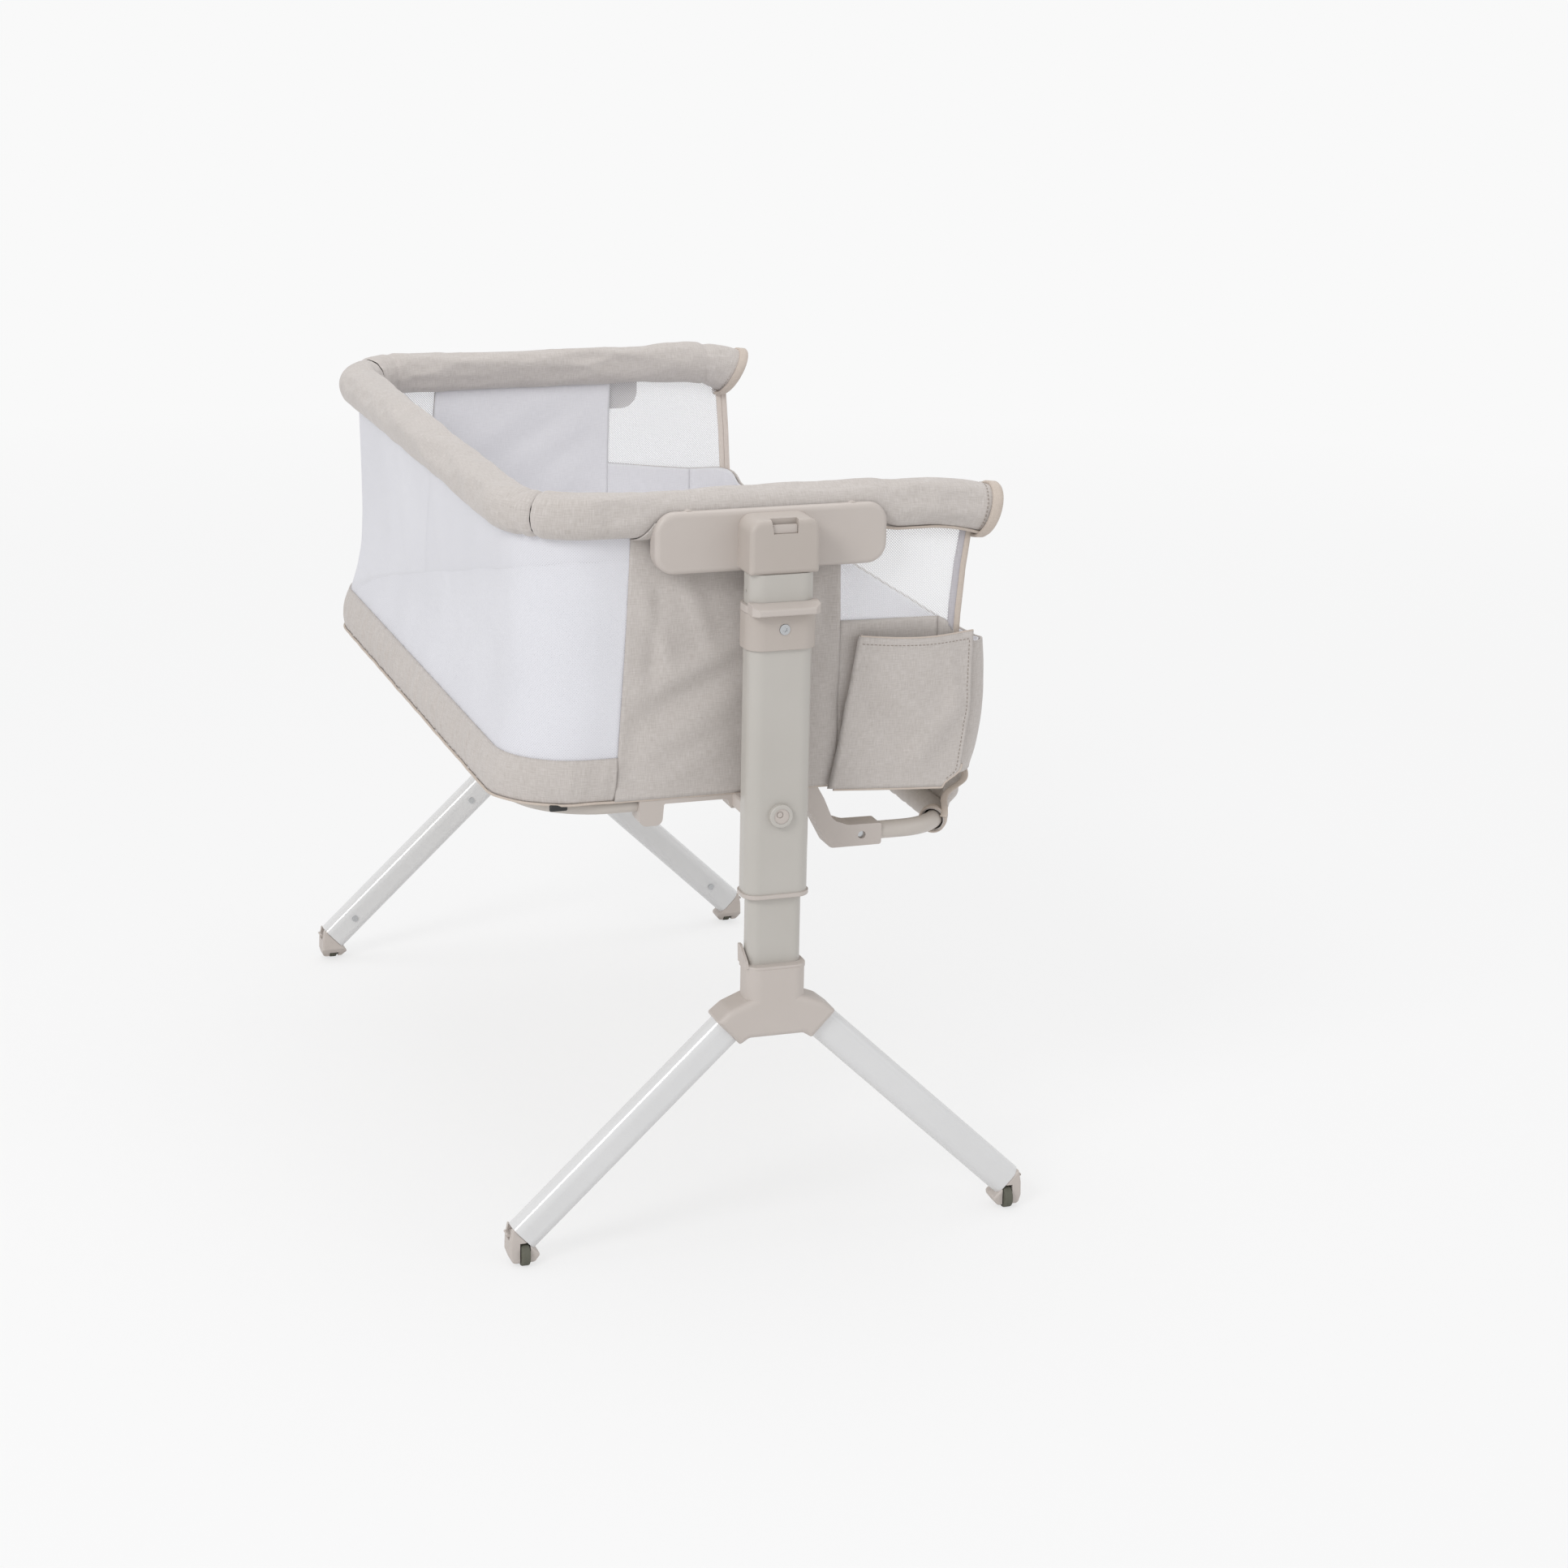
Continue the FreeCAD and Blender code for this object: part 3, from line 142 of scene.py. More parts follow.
# %% Woven cloth material
def woven(name, dark, pale, yarn, sheen=0.2, relief=0.25):
    """Cloth whose yarns are a given distance apart, on UVs in metres."""
    made, tree = new_finish(name)
    metres = add(tree, "TexCoord").outputs["UV"]
    slub = 12
    warp_space = add(tree, "Mapping", {"Scale": (1 / yarn, 1 / (yarn * slub), 1)}, {"Vector": metres})
    weft_space = add(tree, "Mapping", {"Scale": (1 / (yarn * slub), 1 / yarn, 1)}, {"Vector": metres})
    warp = add(tree, "TexNoise", {"Scale": 1, "Detail": 2}, {"Vector": warp_space.outputs[0]})
    weft = add(tree, "TexNoise", {"Scale": 1, "Detail": 2}, {"Vector": weft_space.outputs[0]})
    crossing = add(tree, "Math", {"operation": "ADD"}, {0: warp.outputs[0], 1: weft.outputs[0]})
    worn = add(tree, "TexNoise", {"Scale": 16, "Detail": 4}, {"Vector": metres})
    worn_part = add(tree, "Math", {"operation": "MULTIPLY_ADD", 1: 0.25},
                    {0: worn.outputs[0], 2: crossing.outputs[0]})
    tone = add(tree, "MapRange", {"From Min": 0.72, "From Max": 1.54}, {"Value": worn_part.outputs[0]})
    surface(tree, (dark, pale), tone.outputs[0], (relief, 0.0006), crossing.outputs[0],
            {"Roughness": 0.88, "Sheen Weight": sheen, "Sheen Roughness": 0.45, "Specular IOR Level": 0.25})
    return made


linen = woven("linen_look_woven_polyester", "#B7B0AA", "#D1CBC7", 0.0009, 0.2, 0.2)
lining = woven("brushed_polyester_lining", "#DFDEE1", "#EBEAED", 0.0009, 0.15, 0.12)
binding = woven("twill_binding_tape", "#C9B9AC", "#DDCEC2", 0.0008, 0.1)
zip_tape = woven("zip_tape_polyester", "#B4B0B4", "#C8C5C9", 0.0008, 0.1)
cover = woven("jersey_mattress_cover", "#E0E0E4", "#EDEDF0", 0.0010, 0.15, 0.15)
piping = woven("beige_twill_binding", "#C2B6AB", "#D0C4B9", 0.0008, 0.1)
# A paler copy of the beige binding for the far window tapes: its lighter tone is painted light that comes
# through them from behind.
backlit_piping_painted = woven("twill_binding_painted_backlight", "#D5CAC1", "#E1D7CE", 0.0008, 0.1)
thread = woven("spun_polyester_thread", "#8E8379", "#A39990", 0.0005, 0.1)

# %% [markdown]
# ## Open mesh
# The long side and the windows are warp-knitted mesh, a net with a hole every 1.5 mm. Its holes
# are too fine for the render, so they are drawn 2.2 mm apart. A Voronoi pattern with no
# randomness gives a regular net of round holes, turned 45 degrees as the knit has them, and the
# holes go to the alpha of the shader, so that the inside shows faintly through. Round the far
# corner the net is stretched most, so its holes open there: their radius grows with Y.

# %% Open mesh material
HOLE_PITCH = 0.0022
FAR_CORNER = (0.405, 0.447)


def knitted(name, dark, pale, hole, opened):
    """A net. hole is its holes' radius as a share of their pitch, opened the same at the far corner."""
    made, tree = new_finish(name)
    metres = add(tree, "TexCoord").outputs["UV"]
    turned = add(tree, "Mapping", {"Rotation": (0, 0, math.radians(45)), "Scale": (1 / HOLE_PITCH,) * 3},
                 {"Vector": metres})
    holes = add(tree, "TexVoronoi", {"voronoi_dimensions": "2D", "Scale": 1, "Randomness": 0},
                {"Vector": turned.outputs[0]})
    place = add(tree, "SeparateXYZ", {}, {"Vector": add(tree, "TexCoord").outputs["Object"]})
    radius = add(tree, "MapRange", {"From Min": FAR_CORNER[0], "From Max": FAR_CORNER[1],
                                    "To Min": hole, "To Max": opened}, {"Value": place.outputs["Y"]})
    rim = add(tree, "Math", {"operation": "ADD", 1: 0.11}, {0: radius.outputs[0]})
    solid_part = add(tree, "MapRange", {}, {"Value": holes.outputs["Distance"],
                                            "From Min": radius.outputs[0], "From Max": rim.outputs[0]})
    drift = add(tree, "TexNoise", {"Scale": 9, "Detail": 3}, {"Vector": metres})
    surface(tree, (dark, pale), drift.outputs[0], (0.3, 0.0004), holes.outputs["Distance"],
            {"Roughness": 0.7, "Sheen Weight": 0.15, "Specular IOR Level": 0.3},
            {"Alpha": solid_part.outputs[0]})
    return made


net = knitted("warp_knitted_polyester_mesh", "#D9D9DE", "#E4E4E9", 0.10, 0.33)
# A lighter copy of the net for the windows: its holes are more open, and its lighter tone is painted light
# that comes through from behind.
open_net_painted_backlight = knitted("open_warp_knitted_mesh_painted_backlight", "#E4E4E7", "#EFEFF1", 0.32, 0.32)

# %% [markdown]
# ## Paint, plastic, rubber and steel
# The hubs, heads, caps and brackets are moulded from a greige plastic with a fine spark-eroded
# grain. The posts are steel tube with a satin powder coat in the same tone, and the legs are
# glossy white lacquer. All three are the same recipe with other numbers: a base colour that drifts
# a little, a grain that breaks up the highlight, and a clear coat where there is one. The grain
# is about 0.3 mm on the plastic and is drawn 0.9 mm wide. Object coordinates are used, because
# the CAD meshes have no UVs, and because every node sits at the origin they are metres too.

# %% Hard materials
def coated(name, dark, pale, grain, depth, roughness, coat=0.0, metallic=0.0):
    """Paint, plastic or metal with a grain of a given width in metres and a colour that drifts."""
    made, tree = new_finish(name)
    metres = add(tree, "TexCoord").outputs["Object"]
    fine = add(tree, "TexNoise", {"Scale": 1 / grain, "Detail": 3}, {"Vector": metres})
    broad = add(tree, "TexNoise", {"Scale": 11, "Detail": 5}, {"Vector": metres})
    gloss = add(tree, "MapRange", {"To Min": roughness * 0.88, "To Max": roughness * 1.12},
                {"Value": broad.outputs[0]})
    surface(tree, (dark, pale), broad.outputs[0], (depth, 0.0003), fine.outputs[0],
            {"Metallic": metallic, "Coat Weight": coat, "Coat Roughness": 0.08},
            {"Roughness": gloss.outputs[0]})
    return made


moulded = coated("spark_grained_polypropylene", "#BEB5AE", "#C8C0BA", 0.0009, 0.14, 0.46)
moulded_deep = coated("spark_grained_nylon", "#B4ABA3", "#BEB5AE", 0.0009, 0.14, 0.48)
post_coat = coated("satin_powder_coated_steel", "#B8B4AD", "#C2BEB8", 0.0014, 0.04, 0.34, 0.15)
leg_coat = coated("gloss_white_lacquered_steel", "#D8D8D8", "#E0E0E0", 0.012, 0.02, 0.18, 0.6)
tube_coat = coated("matt_powder_coated_steel", "#C0B8B0", "#CAC3BC", 0.0011, 0.08, 0.42, 0.1)
rubber = coated("soft_wheel_rubber", "#55554A", "#66665A", 0.0012, 0.3, 0.72)
steel = coated("zinc_plated_steel", "#B9BBBD", "#D2D4D5", 0.0008, 0.05, 0.24, 0.0, 1.0)
black_plastic = coated("black_acetal_buckle", "#232323", "#303030", 0.0009, 0.15, 0.4)
board = coated("melamine_faced_board", "#C9C2B8", "#D6D0C7", 0.0015, 0.1, 0.5)

FINISHES = {
    "linen": linen, "mesh": net, "tape": binding, "mattress_cover": cover, "moulded_plastic": moulded,
    "post_paint": post_coat, "leg_paint": leg_coat, "tube_paint": tube_coat, "wheel_rubber": rubber,
    "screw_steel": steel, "buckle_plastic": black_plastic, "board_wood": board,
}

# %% [markdown]
# ## Finishes on the hard parts
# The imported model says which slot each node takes, so the finish is looked up and not listed
# again. Only the material is changed; the CAD mesh stays as it was packed.

# %% Put the finishes on the CAD nodes
DEEP_TONED = ("near_head", "far_head", "near_collar", "far_collar")
for label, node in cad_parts.items():
    slots = node.data.materials
    for index, old in enumerate(slots):
        name = old.name.split(".")[0] if old else ""
        slots[index] = moulded_deep if label in DEEP_TONED else FINISHES.get(name, moulded)
print("finished nodes", len(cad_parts))

# %% [markdown]
# ## The outline of the cloth
# Seen from above, the cloth walls follow a rounded rectangle that is wider at the hem than under
# the rail. Each row below gives a height in millimetres, then the reach to the left, to the right
# and to each end, and the two corner radii. A wall point is found by its height and by its
# distance along the outline from the middle of the near end, leftwards. That distance is also the
# UV of the weave, so a yarn keeps its width all the way round.

# %% Outline rows
WALL_ROWS = np.array([
    (498, 287, 258.5, 451, 88, 48), (506, 287, 259.5, 451.5, 88, 46), (524, 284, 262, 452, 86, 40),
    (547, 277, 264, 452, 84, 35), (572, 268, 265.5, 452, 82, 31), (606, 261, 266, 452, 80, 28),
    (650, 259, 264, 452, 79, 25), (700, 260, 260, 451.5, 79, 24), (745, 262, 257, 449, 80, 24),
    (790, 264.5, 257, 446, 81.5, 24)]) * MM


def distances(line):
    """How far along a line each of its points lies."""
    return np.concatenate([[0], np.cumsum(np.linalg.norm(np.diff(line, axis=0), axis=1))])


def outline_at(z):
    """Reaches and corner radii at a height, averaged over 20 mm so that no row shows as a kink."""
    heights = z + np.linspace(-0.01, 0.01, 7)
    return [float(np.interp(heights, WALL_ROWS[:, 0], WALL_ROWS[:, c]).mean()) for c in range(1, 6)]


def outline_loop(z):
    """The loop of the outline as points, their distances, and the distance of each side's middle."""
    left, right, end, r_left, r_right = outline_at(z)
    a = np.linspace(0, math.pi / 2, 17)
    sin, cos = np.sin(a), np.cos(a)
    corners = [
        (right - r_right + r_right * cos, -end + r_right - r_right * sin),
        (-left + r_left - r_left * sin, -end + r_left - r_left * cos),
        (-left + r_left - r_left * cos, end - r_left + r_left * sin),
        (right - r_right + r_right * sin, end - r_right + r_right * cos)]
    x = np.concatenate([[right]] + [c[0] for c in corners] + [[right]])
    y = np.concatenate([[0]] + [c[1] for c in corners] + [[0]])
    along = distances(np.stack([x, y], 1))
    start = along[17] + right - r_right
    long_side = left - r_left + r_left * math.pi / 2 + end - r_left
    return x, y, along - start, long_side, along[-1] - start


# %% Grids of wall points
def wall_rows(heights, spans, columns):
    """Grid of wall points: one row per height, evenly spaced between that row's two distances."""
    grid, across = [], []
    for z, (first, last) in zip(heights, spans):
        x, y, along, _, _ = outline_loop(z)
        s = np.linspace(first, last, columns)
        grid.append(np.stack([np.interp(s, along, x), np.interp(s, along, y), np.full(columns, z)], 1))
        across.append(s)
    return np.array(grid), np.array(across)


def outward(grid):
    """Unit normals of a grid, pointing away from the crib's middle."""
    normal = np.cross(np.gradient(grid, axis=1), np.gradient(grid, axis=0))
    normal /= np.maximum(np.linalg.norm(normal, axis=2, keepdims=True), 1e-12)
    middle = grid - np.array([0, 0, grid[..., 2].mean()])
    return normal * np.sign((normal * middle).sum(2).mean())


def lifted(grid, lift):
    """The grid with each point moved outwards by its lift."""
    return grid + outward(grid) * np.asarray(lift)[..., None]


# %% [markdown]
# ## Folds
# Cloth that hangs is never flat. A soft fold is a low ridge with a round back that fades at both
# ends, and a gather is a row of short ripples where a longer edge is sewn to a shorter one. Both
# are worked out as heights over the flat cloth, in code, so that they are the same on every run.

# %% Fold shapes
def ripples(s, lengths, seed, size):
    """A smooth uneven line: sine waves of the given lengths in metres with seeded phases."""
    random = np.random.default_rng(seed)
    total = np.zeros_like(s)
    for length in lengths:
        total += np.sin(2 * math.pi * s / length + random.uniform(0, 2 * math.pi))
    return size * total / len(lengths)


def fold(u, v, start, end, width, height):
    """A ridge from start to end on the cloth, rounded across and fading at both ends."""
    a, b = np.array(start), np.array(end)
    d = b - a
    share = ((u - a[0]) * d[0] + (v - a[1]) * d[1]) / (d @ d)
    off = ((u - a[0]) * d[1] - (v - a[1]) * d[0]) / math.hypot(*d)
    fade = np.clip(share, 0, 1) * np.clip(1 - share, 0, 1) * 4
    return height * np.exp(-(off / width) ** 2) * fade ** 0.7


def smooth(x, low, high):
    """0 below low, 1 above high, and an S-shaped way between them."""
    t = np.clip((x - low) / (high - low), 0, 1)
    return t * t * (3 - 2 * t)


# %% [markdown]
# ## From a grid of points to a piece of cloth
# Every cloth piece below is a grid of quads with UVs in metres. A grid can be closed round, as
# for a sleeve. The Solidify modifier gives the cloth its thickness, and it is applied at once, so
# that the piece is plain geometry. The last step hides the CAD node whose place the piece takes.

# %% From a grid to a piece
def add_piece(name, data):
    """An object with the given mesh or lamp, linked to the scene."""
    piece = bpy.data.objects.new(name, data)
    bpy.context.scene.collection.objects.link(piece)
    return piece


def cloth_piece(name, grid, across, along, finish, closed=False, thick=0.0, body="basket"):
    """A piece from a grid of points, with UVs in metres. thick adds a second face inside."""
    rows, columns = grid.shape[:2]
    wrap = columns if closed else columns - 1
    faces, uv = [], []
    for i in range(rows - 1):
        for j in range(wrap):
            k = (j + 1) % columns
            faces.append((i * columns + j, i * columns + k, (i + 1) * columns + k, (i + 1) * columns + j))
            uv += [(across[at], along[at]) for at in ((i, j), (i, j + 1), (i + 1, j + 1), (i + 1, j))]
    mesh = bpy.data.meshes.new(name)
    mesh.from_pydata(grid.reshape(-1, 3).tolist(), [], faces)
    mesh.uv_layers.new(name="metres").data.foreach_set("uv", np.array(uv, np.float32).ravel())
    mesh.materials.append(finish)
    piece = add_piece(name, mesh)
    if thick:
        shell = piece.modifiers.new("thickness", "SOLIDIFY")
        shell.thickness = abs(thick)
        shell.offset = -1 if thick > 0 else 1
        shell.use_even_offset = True
    settle(piece)
    if body:
        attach(piece, body)
    return piece


def settle(piece):
    """Makes the modifiers' result the piece's own mesh, shaded smooth."""
    if piece.modifiers:
        seen = piece.evaluated_get(bpy.context.evaluated_depsgraph_get())
        final = bpy.data.meshes.new_from_object(seen)
        piece.modifiers.clear()
        piece.data = final
    piece.data.polygons.foreach_set("use_smooth", [True] * len(piece.data.polygons))
    piece.data.update()
    print("made", piece.name, "with", len(piece.data.polygons), "faces")


# %% Move a piece's vertices, dress it and hang it
def vertex_points(mesh):
    """A mesh's vertices as an array of points."""
    flat = np.empty(len(mesh.vertices) * 3)
    mesh.vertices.foreach_get("co", flat)
    return flat.reshape(-1, 3)


def move_vertices(mesh, points):
    """Puts a mesh's vertices at the given points."""
    mesh.vertices.foreach_set("co", points.ravel())
    mesh.update()


def dress(piece, slot, node=None, **sheet):
    """Hides the CAD node that a piece replaces. slot and sheet are not used."""
    if node:
        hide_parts(node)


def hang(name, grid, across, finish, slot, node=None, thick=0.0, body="basket", **sheet):
    """A dressed piece of wall cloth, whose UVs are its distance round the crib and its height."""
    piece = cloth_piece(name, grid, across, grid[..., 2], finish, thick=thick, body=body)
    dress(piece, slot, node, **sheet)
    return piece


# %% A tube of cloth, for either end
def mirrored(points):
    """The same points at the far end."""
    return points * np.array([1, -1, 1])


def sleeve(name, path, radius, finish, around=28, thick=0.0, body="basket", upright=False):
    """A tube round a path. radius is a number, or a function of distance and angle."""
    path = np.asarray(path, float)
    way = np.gradient(path, axis=0)
    if upright:
        way[:, 2] = 0
    way /= np.linalg.norm(way, axis=1, keepdims=True)
    side = np.cross(way, [0, 0, 1])
    side /= np.maximum(np.linalg.norm(side, axis=1, keepdims=True), 1e-9)
    up = np.cross(side, way)
    s = distances(path)
    angle = np.linspace(0, 2 * math.pi, around, endpoint=False)
    S, A = np.meshgrid(s, angle, indexing="ij")
    R = radius(S, A) if callable(radius) else np.full_like(S, radius)
    spoke = np.cos(A)[..., None] * side[:, None] + np.sin(A)[..., None] * up[:, None]
    grid = path[:, None] + R[..., None] * spoke
    across = np.concatenate([S, S[:, :1]], 1)
    along = np.concatenate([A, A[:, :1] + 2 * math.pi], 1) * float(R.mean())
    return cloth_piece(name, grid, across, along, finish, closed=True, thick=thick, body=body)


# %% [markdown]
# ## Tape and stitching
# Binding tape is a narrow ribbon that follows a line and lies flat on the cloth beneath. A row of
# stitches is a string of short threads with gaps between them, each one a tiny rounded bar. Real
# stitches are about 3 mm long, and that is what is drawn, because at this size they still show.

# %% A tape
def ribbon(name, line, sideways, width, finish, crown=0.0006, thick=0.0012, body="basket"):
    """A flat tape along a line; sideways says where its width lies, and crown lifts its middle."""
    line, sideways = np.asarray(line, float), np.asarray(sideways, float)
    sideways = np.broadcast_to(sideways, line.shape)
    way = np.gradient(line, axis=0)
    lift = np.cross(way, sideways)
    lift /= np.linalg.norm(lift, axis=1, keepdims=True)
    w = np.linspace(-0.5, 0.5, 6)
    grid = line[:, None] + w[None, :, None] * width * sideways[:, None]
    grid = grid + (crown * (1 - 4 * w ** 2))[None, :, None] * lift[:, None]
    s, w = np.meshgrid(distances(line), w, indexing="ij")
    return cloth_piece(name, grid, s, w * width, finish, thick=thick, body=body)


# %% A row of stitches
def stitches(name, line, length=0.003, gap=0.0016):
    """A row of short threads along a line."""
    line = np.asarray(line, float)
    s = distances(line)
    points, faces = [], []
    turn = np.linspace(0, 2 * math.pi, 6, endpoint=False)
    for start in np.arange(0.001, s[-1] - length, length + gap):
        ends = [np.array([np.interp(start + d, s, line[:, c]) for c in range(3)])
                for d in (0, length * 0.2, length * 0.8, length)]
        way = ends[3] - ends[0]
        way /= np.linalg.norm(way)
        side = np.cross(way, [0.3, 0.2, 0.93])
        side /= np.linalg.norm(side)
        up = np.cross(side, way)
        first = len(points)
        for point, r in zip(ends, (0.0001, 0.0004, 0.0004, 0.0001)):
            points += [point + r * (math.cos(a) * side + math.sin(a) * up) for a in turn]
        for ring in range(3):
            for k in range(6):
                a, b = first + ring * 6 + k, first + ring * 6 + (k + 1) % 6
                faces.append((a, b, b + 6, a + 6))
        faces += [tuple(first + 5 - k for k in range(6)), tuple(first + 18 + k for k in range(6))]
    mesh = bpy.data.meshes.new(name)
    mesh.from_pydata([tuple(p) for p in points], [], faces)
    mesh.materials.append(thread)
    piece = add_piece(name, mesh)
    settle(piece)
    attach(piece, "basket")


# %% [markdown]
# ## The padded rail
# A foam sleeve covered in the linen-look cloth wraps the rail tube. It is made of three lengths
# that meet in sewn rings at the corners: one for each end and one for the long side. Cloth that
# is sewn round a tube draws in at the seams and puckers beside them, and its line wanders by a
# millimetre or two. The open ends reach past the tube, so they hang limp and droop.
# The sleeve is a tube of quads whose radius is a function of distance and angle, because the
# seams stay exactly where they are sewn; a cloth simulation with air pressure then fills it.
# Last, the open ends are slanted, because the tape beside the window pulls their lower edge back.

# %% Rail paths
RAIL_X, RAIL_Y, RAIL_Z = 0.263, 0.445, 0.812
BEND = 0.080
FOAM = 0.0256
STEP, AROUND = 0.004, 44
RAIL_END, DROOP, LIMP_FROM = 0.256, 0.016, 0.188
CENTRE_HEIGHT = {"near": RAIL_Z, "far": RAIL_Z + 0.0012}
SAG = {"near": 0.0045, "far": 0.0}
SLANT = {"near": 0.20, "far": 0.45}


def rail_height(x, end):
    """Height of an end sleeve's centre: it sags past the T-bar and droops where it is empty."""
    limp = np.clip((x - LIMP_FROM) / (RAIL_END - LIMP_FROM), 0, 1)
    return CENTRE_HEIGHT[end] - SAG[end] * smooth(x, 0.120, 0.152) - (DROOP - SAG[end]) * limp ** 1.6


def lean(points, end):
    """Slants a sleeve's open end: its lower edge is pulled back by the window's tape."""
    points = np.array(points, float)
    near_end = smooth(points[..., 0], RAIL_END - 0.045, RAIL_END - 0.008)
    points[..., 0] += SLANT[end] * (points[..., 2] - rail_height(RAIL_END, end)) * near_end
    return points


def half_bend(first, last, height):
    """Half of a bend of the rail, between two angles."""
    turn = np.linspace(first, last, int(BEND * math.pi / 4 / STEP) + 1)
    return np.stack([-RAIL_X + BEND - BEND * np.sin(turn), -RAIL_Y + BEND - BEND * np.cos(turn),
                     np.full_like(turn, height)], 1)


def end_line(end):
    """Centre line of an end's sleeve, drawn at the near end, from the open end to the corner seam."""
    x = np.arange(RAIL_END, -RAIL_X + BEND, -STEP)
    run = np.stack([x, np.full_like(x, -RAIL_Y), rail_height(x, end)], 1)
    return np.concatenate([run, half_bend(0, math.pi / 4, CENTRE_HEIGHT[end])])


def long_line():
    """Centre line of the long side's sleeve, from corner seam to corner seam."""
    first = half_bend(math.pi / 4, math.pi / 2, RAIL_Z)
    y = np.arange(-RAIL_Y + BEND + STEP, RAIL_Y - BEND, STEP)
    run = np.stack([np.full_like(y, -RAIL_X), y, np.full_like(y, RAIL_Z)], 1)
    return np.concatenate([first, run, mirrored(first[::-1])])


def sewn_radius(seed, seams, foam, clamped):
    """Radius of a sewn sleeve: it wanders, draws in at seams and in the T-bar, and puckers."""
    def radius(s, a):
        r = foam + ripples(s, (0.31, 0.17, 0.093), seed, 0.0006)
        r = r + ripples(s + a * 0.02, (0.11, 0.07), seed + 1, 0.0004)
        if clamped:
            r = r - 0.0012 * smooth(s, 0.108, 0.128) * (1 - smooth(s, 0.384, 0.404))
            r = r + 0.0008 * (1 - smooth(s, 0.09, 0.12))
        for seam in seams:
            off = np.abs(s - seam)
            pucker = np.sin(a * 17 + seed) * 0.5 + np.sin(a * 11 + 2 * seed) * 0.5
            r = r - 0.0030 * np.exp(-(off / 0.0030) ** 2)
            r = r + 0.0007 * pucker * np.exp(-(off / 0.014) ** 1.5)
        return r
    return radius


# %% [markdown]
# The cover is then filled: Blender's cloth solver blows it up from inside for twenty frames, with
# gravity off. The rings where it is sewn, the line where the wall hangs from it and the part that
# lies in the T-bar are pinned, so only the free cloth swells and finds its own shallow wrinkles.
# How far a point may move is capped, and the result is written back as plain geometry.

# %% Fill a cover with air
FRAMES, PRESSURE, REACH = 20, 3.5, 0.0028


def swell(piece, pinned):
    """Swells a cover; pinned holds a share from 0 to 1 for each vertex."""
    start = vertex_points(piece.data)
    group = piece.vertex_groups.new(name="sewn")
    for index in np.flatnonzero(pinned > 0):
        group.add([int(index)], float(pinned[index]), "REPLACE")
    air = piece.modifiers.new("air", "CLOTH")
    air.point_cache.frame_start, air.point_cache.frame_end = 1, FRAMES
    air.settings.quality = 5
    air.settings.mass = 0.15
    air.settings.tension_stiffness = air.settings.compression_stiffness = 8
    air.settings.bending_stiffness = 0.1
    air.settings.shrink_min = -0.004
    air.settings.use_pressure = True
    air.settings.uniform_pressure_force = PRESSURE
    air.settings.vertex_group_mass = "sewn"
    air.settings.effector_weights.gravity = 0
    for number in range(1, FRAMES + 1):
        bpy.context.scene.frame_set(number)
    seen = piece.evaluated_get(bpy.context.evaluated_depsgraph_get())
    move = vertex_points(seen.data) - start
    far = np.linalg.norm(move, axis=1, keepdims=True)
    move *= np.minimum(1, REACH / np.maximum(far, 1e-9))
    piece.modifiers.clear()
    piece.vertex_groups.clear()
    move_vertices(piece.data, start + move)
    bpy.context.scene.frame_set(1)
    piece.modifiers.new("smooth", "SUBSURF").levels = 1
    settle(piece)
    print("swelled", piece.name, "by", round(float(far.max()) * 1000, 1), "mm at most")


# %% Where a sleeve is held
def sewn_points(piece, seams, line):
    """Shares pinned on a rail sleeve: its seams, its underside, and the part in the T-bar."""
    x, y, z = vertex_points(piece.data).T
    at = np.repeat(distances(line), AROUND)
    pinned = np.zeros(len(at))
    for seam in seams:
        pinned = np.maximum(pinned, np.exp(-((at - seam) / 0.006) ** 2))
    centre = np.repeat(line[:, 2], AROUND)
    pinned = np.maximum(pinned, smooth(centre - z, 0.019, 0.025))
    in_saddle = (np.abs(x) < 0.136) & (np.abs(y) > RAIL_Y - 0.003) & (z < RAIL_Z + 0.020)
    return np.where(in_saddle | (pinned > 0.95), 1.0, np.where(pinned < 0.05, 0.0, pinned))


# %% Sew and fill the three rail sleeves
near_path, far_path, long_path = end_line("near"), mirrored(end_line("far")), long_line()
end_length, long_length = distances(near_path)[-1], distances(long_path)[-1]
RAILS = [
    ("near", "near_rail_pad", near_path, 3, [0, end_length], FOAM),
    ("far", "far_rail_pad", far_path, 8, [0, 0.041, end_length - 0.035, end_length], FOAM + 0.0008),
    ("long", "side_rail_pad", long_path, 5, [0, 0.017, long_length], FOAM)]
rails = {}
for label, node, line, seed, seams, foam in RAILS:
    grooves = seams if label == "long" else seams[1:]
    cover_radius = sewn_radius(seed, grooves, foam, label != "long")
    rail = sleeve(label + "_rail_sleeve", line, cover_radius, linen, AROUND, upright=True)
    swell(rail, sewn_points(rail, seams, line))
    if label != "long":
        move_vertices(rail.data, lean(vertex_points(rail.data), label))
    dress(rail, "linen", node)
    rails[label] = rail

# %% [markdown]
# ## The linen end walls
# Each end has a wall of the same linen-look cloth behind the post. It widens a little towards the
# hem, and steps down beside the window. The cloth hangs from the rail and is pulled in by the
# T-bar, which gives soft slanting folds below the T-bar's left end. Its inner face is a pale
# lining, which shows at the far end.

# %% Shape of an end wall
WALL_TOP, BAND_TOP, HEM, LOW_TOP = 0.7895, 0.547, 0.498, 0.680
WINDOW_LEFT, LOW_END = 0.088, 0.202
CLOTH, LINING = 0.0018, 0.0008
LOW_EDGE = {"near": ([0.088, 0.206, 0.216, 0.2265, 0.247], [0.683, 0.681, 0.672, 0.657, 0.649]),
            "far": ([0.088, 0.202, 0.2265, 0.247], [0.680, 0.667, 0.6645, 0.662])}


def linen_edge(z):
    """Distance of the end wall's left edge from the middle of the end."""
    return 0.148 + (0.785 - z) * 17 / 287


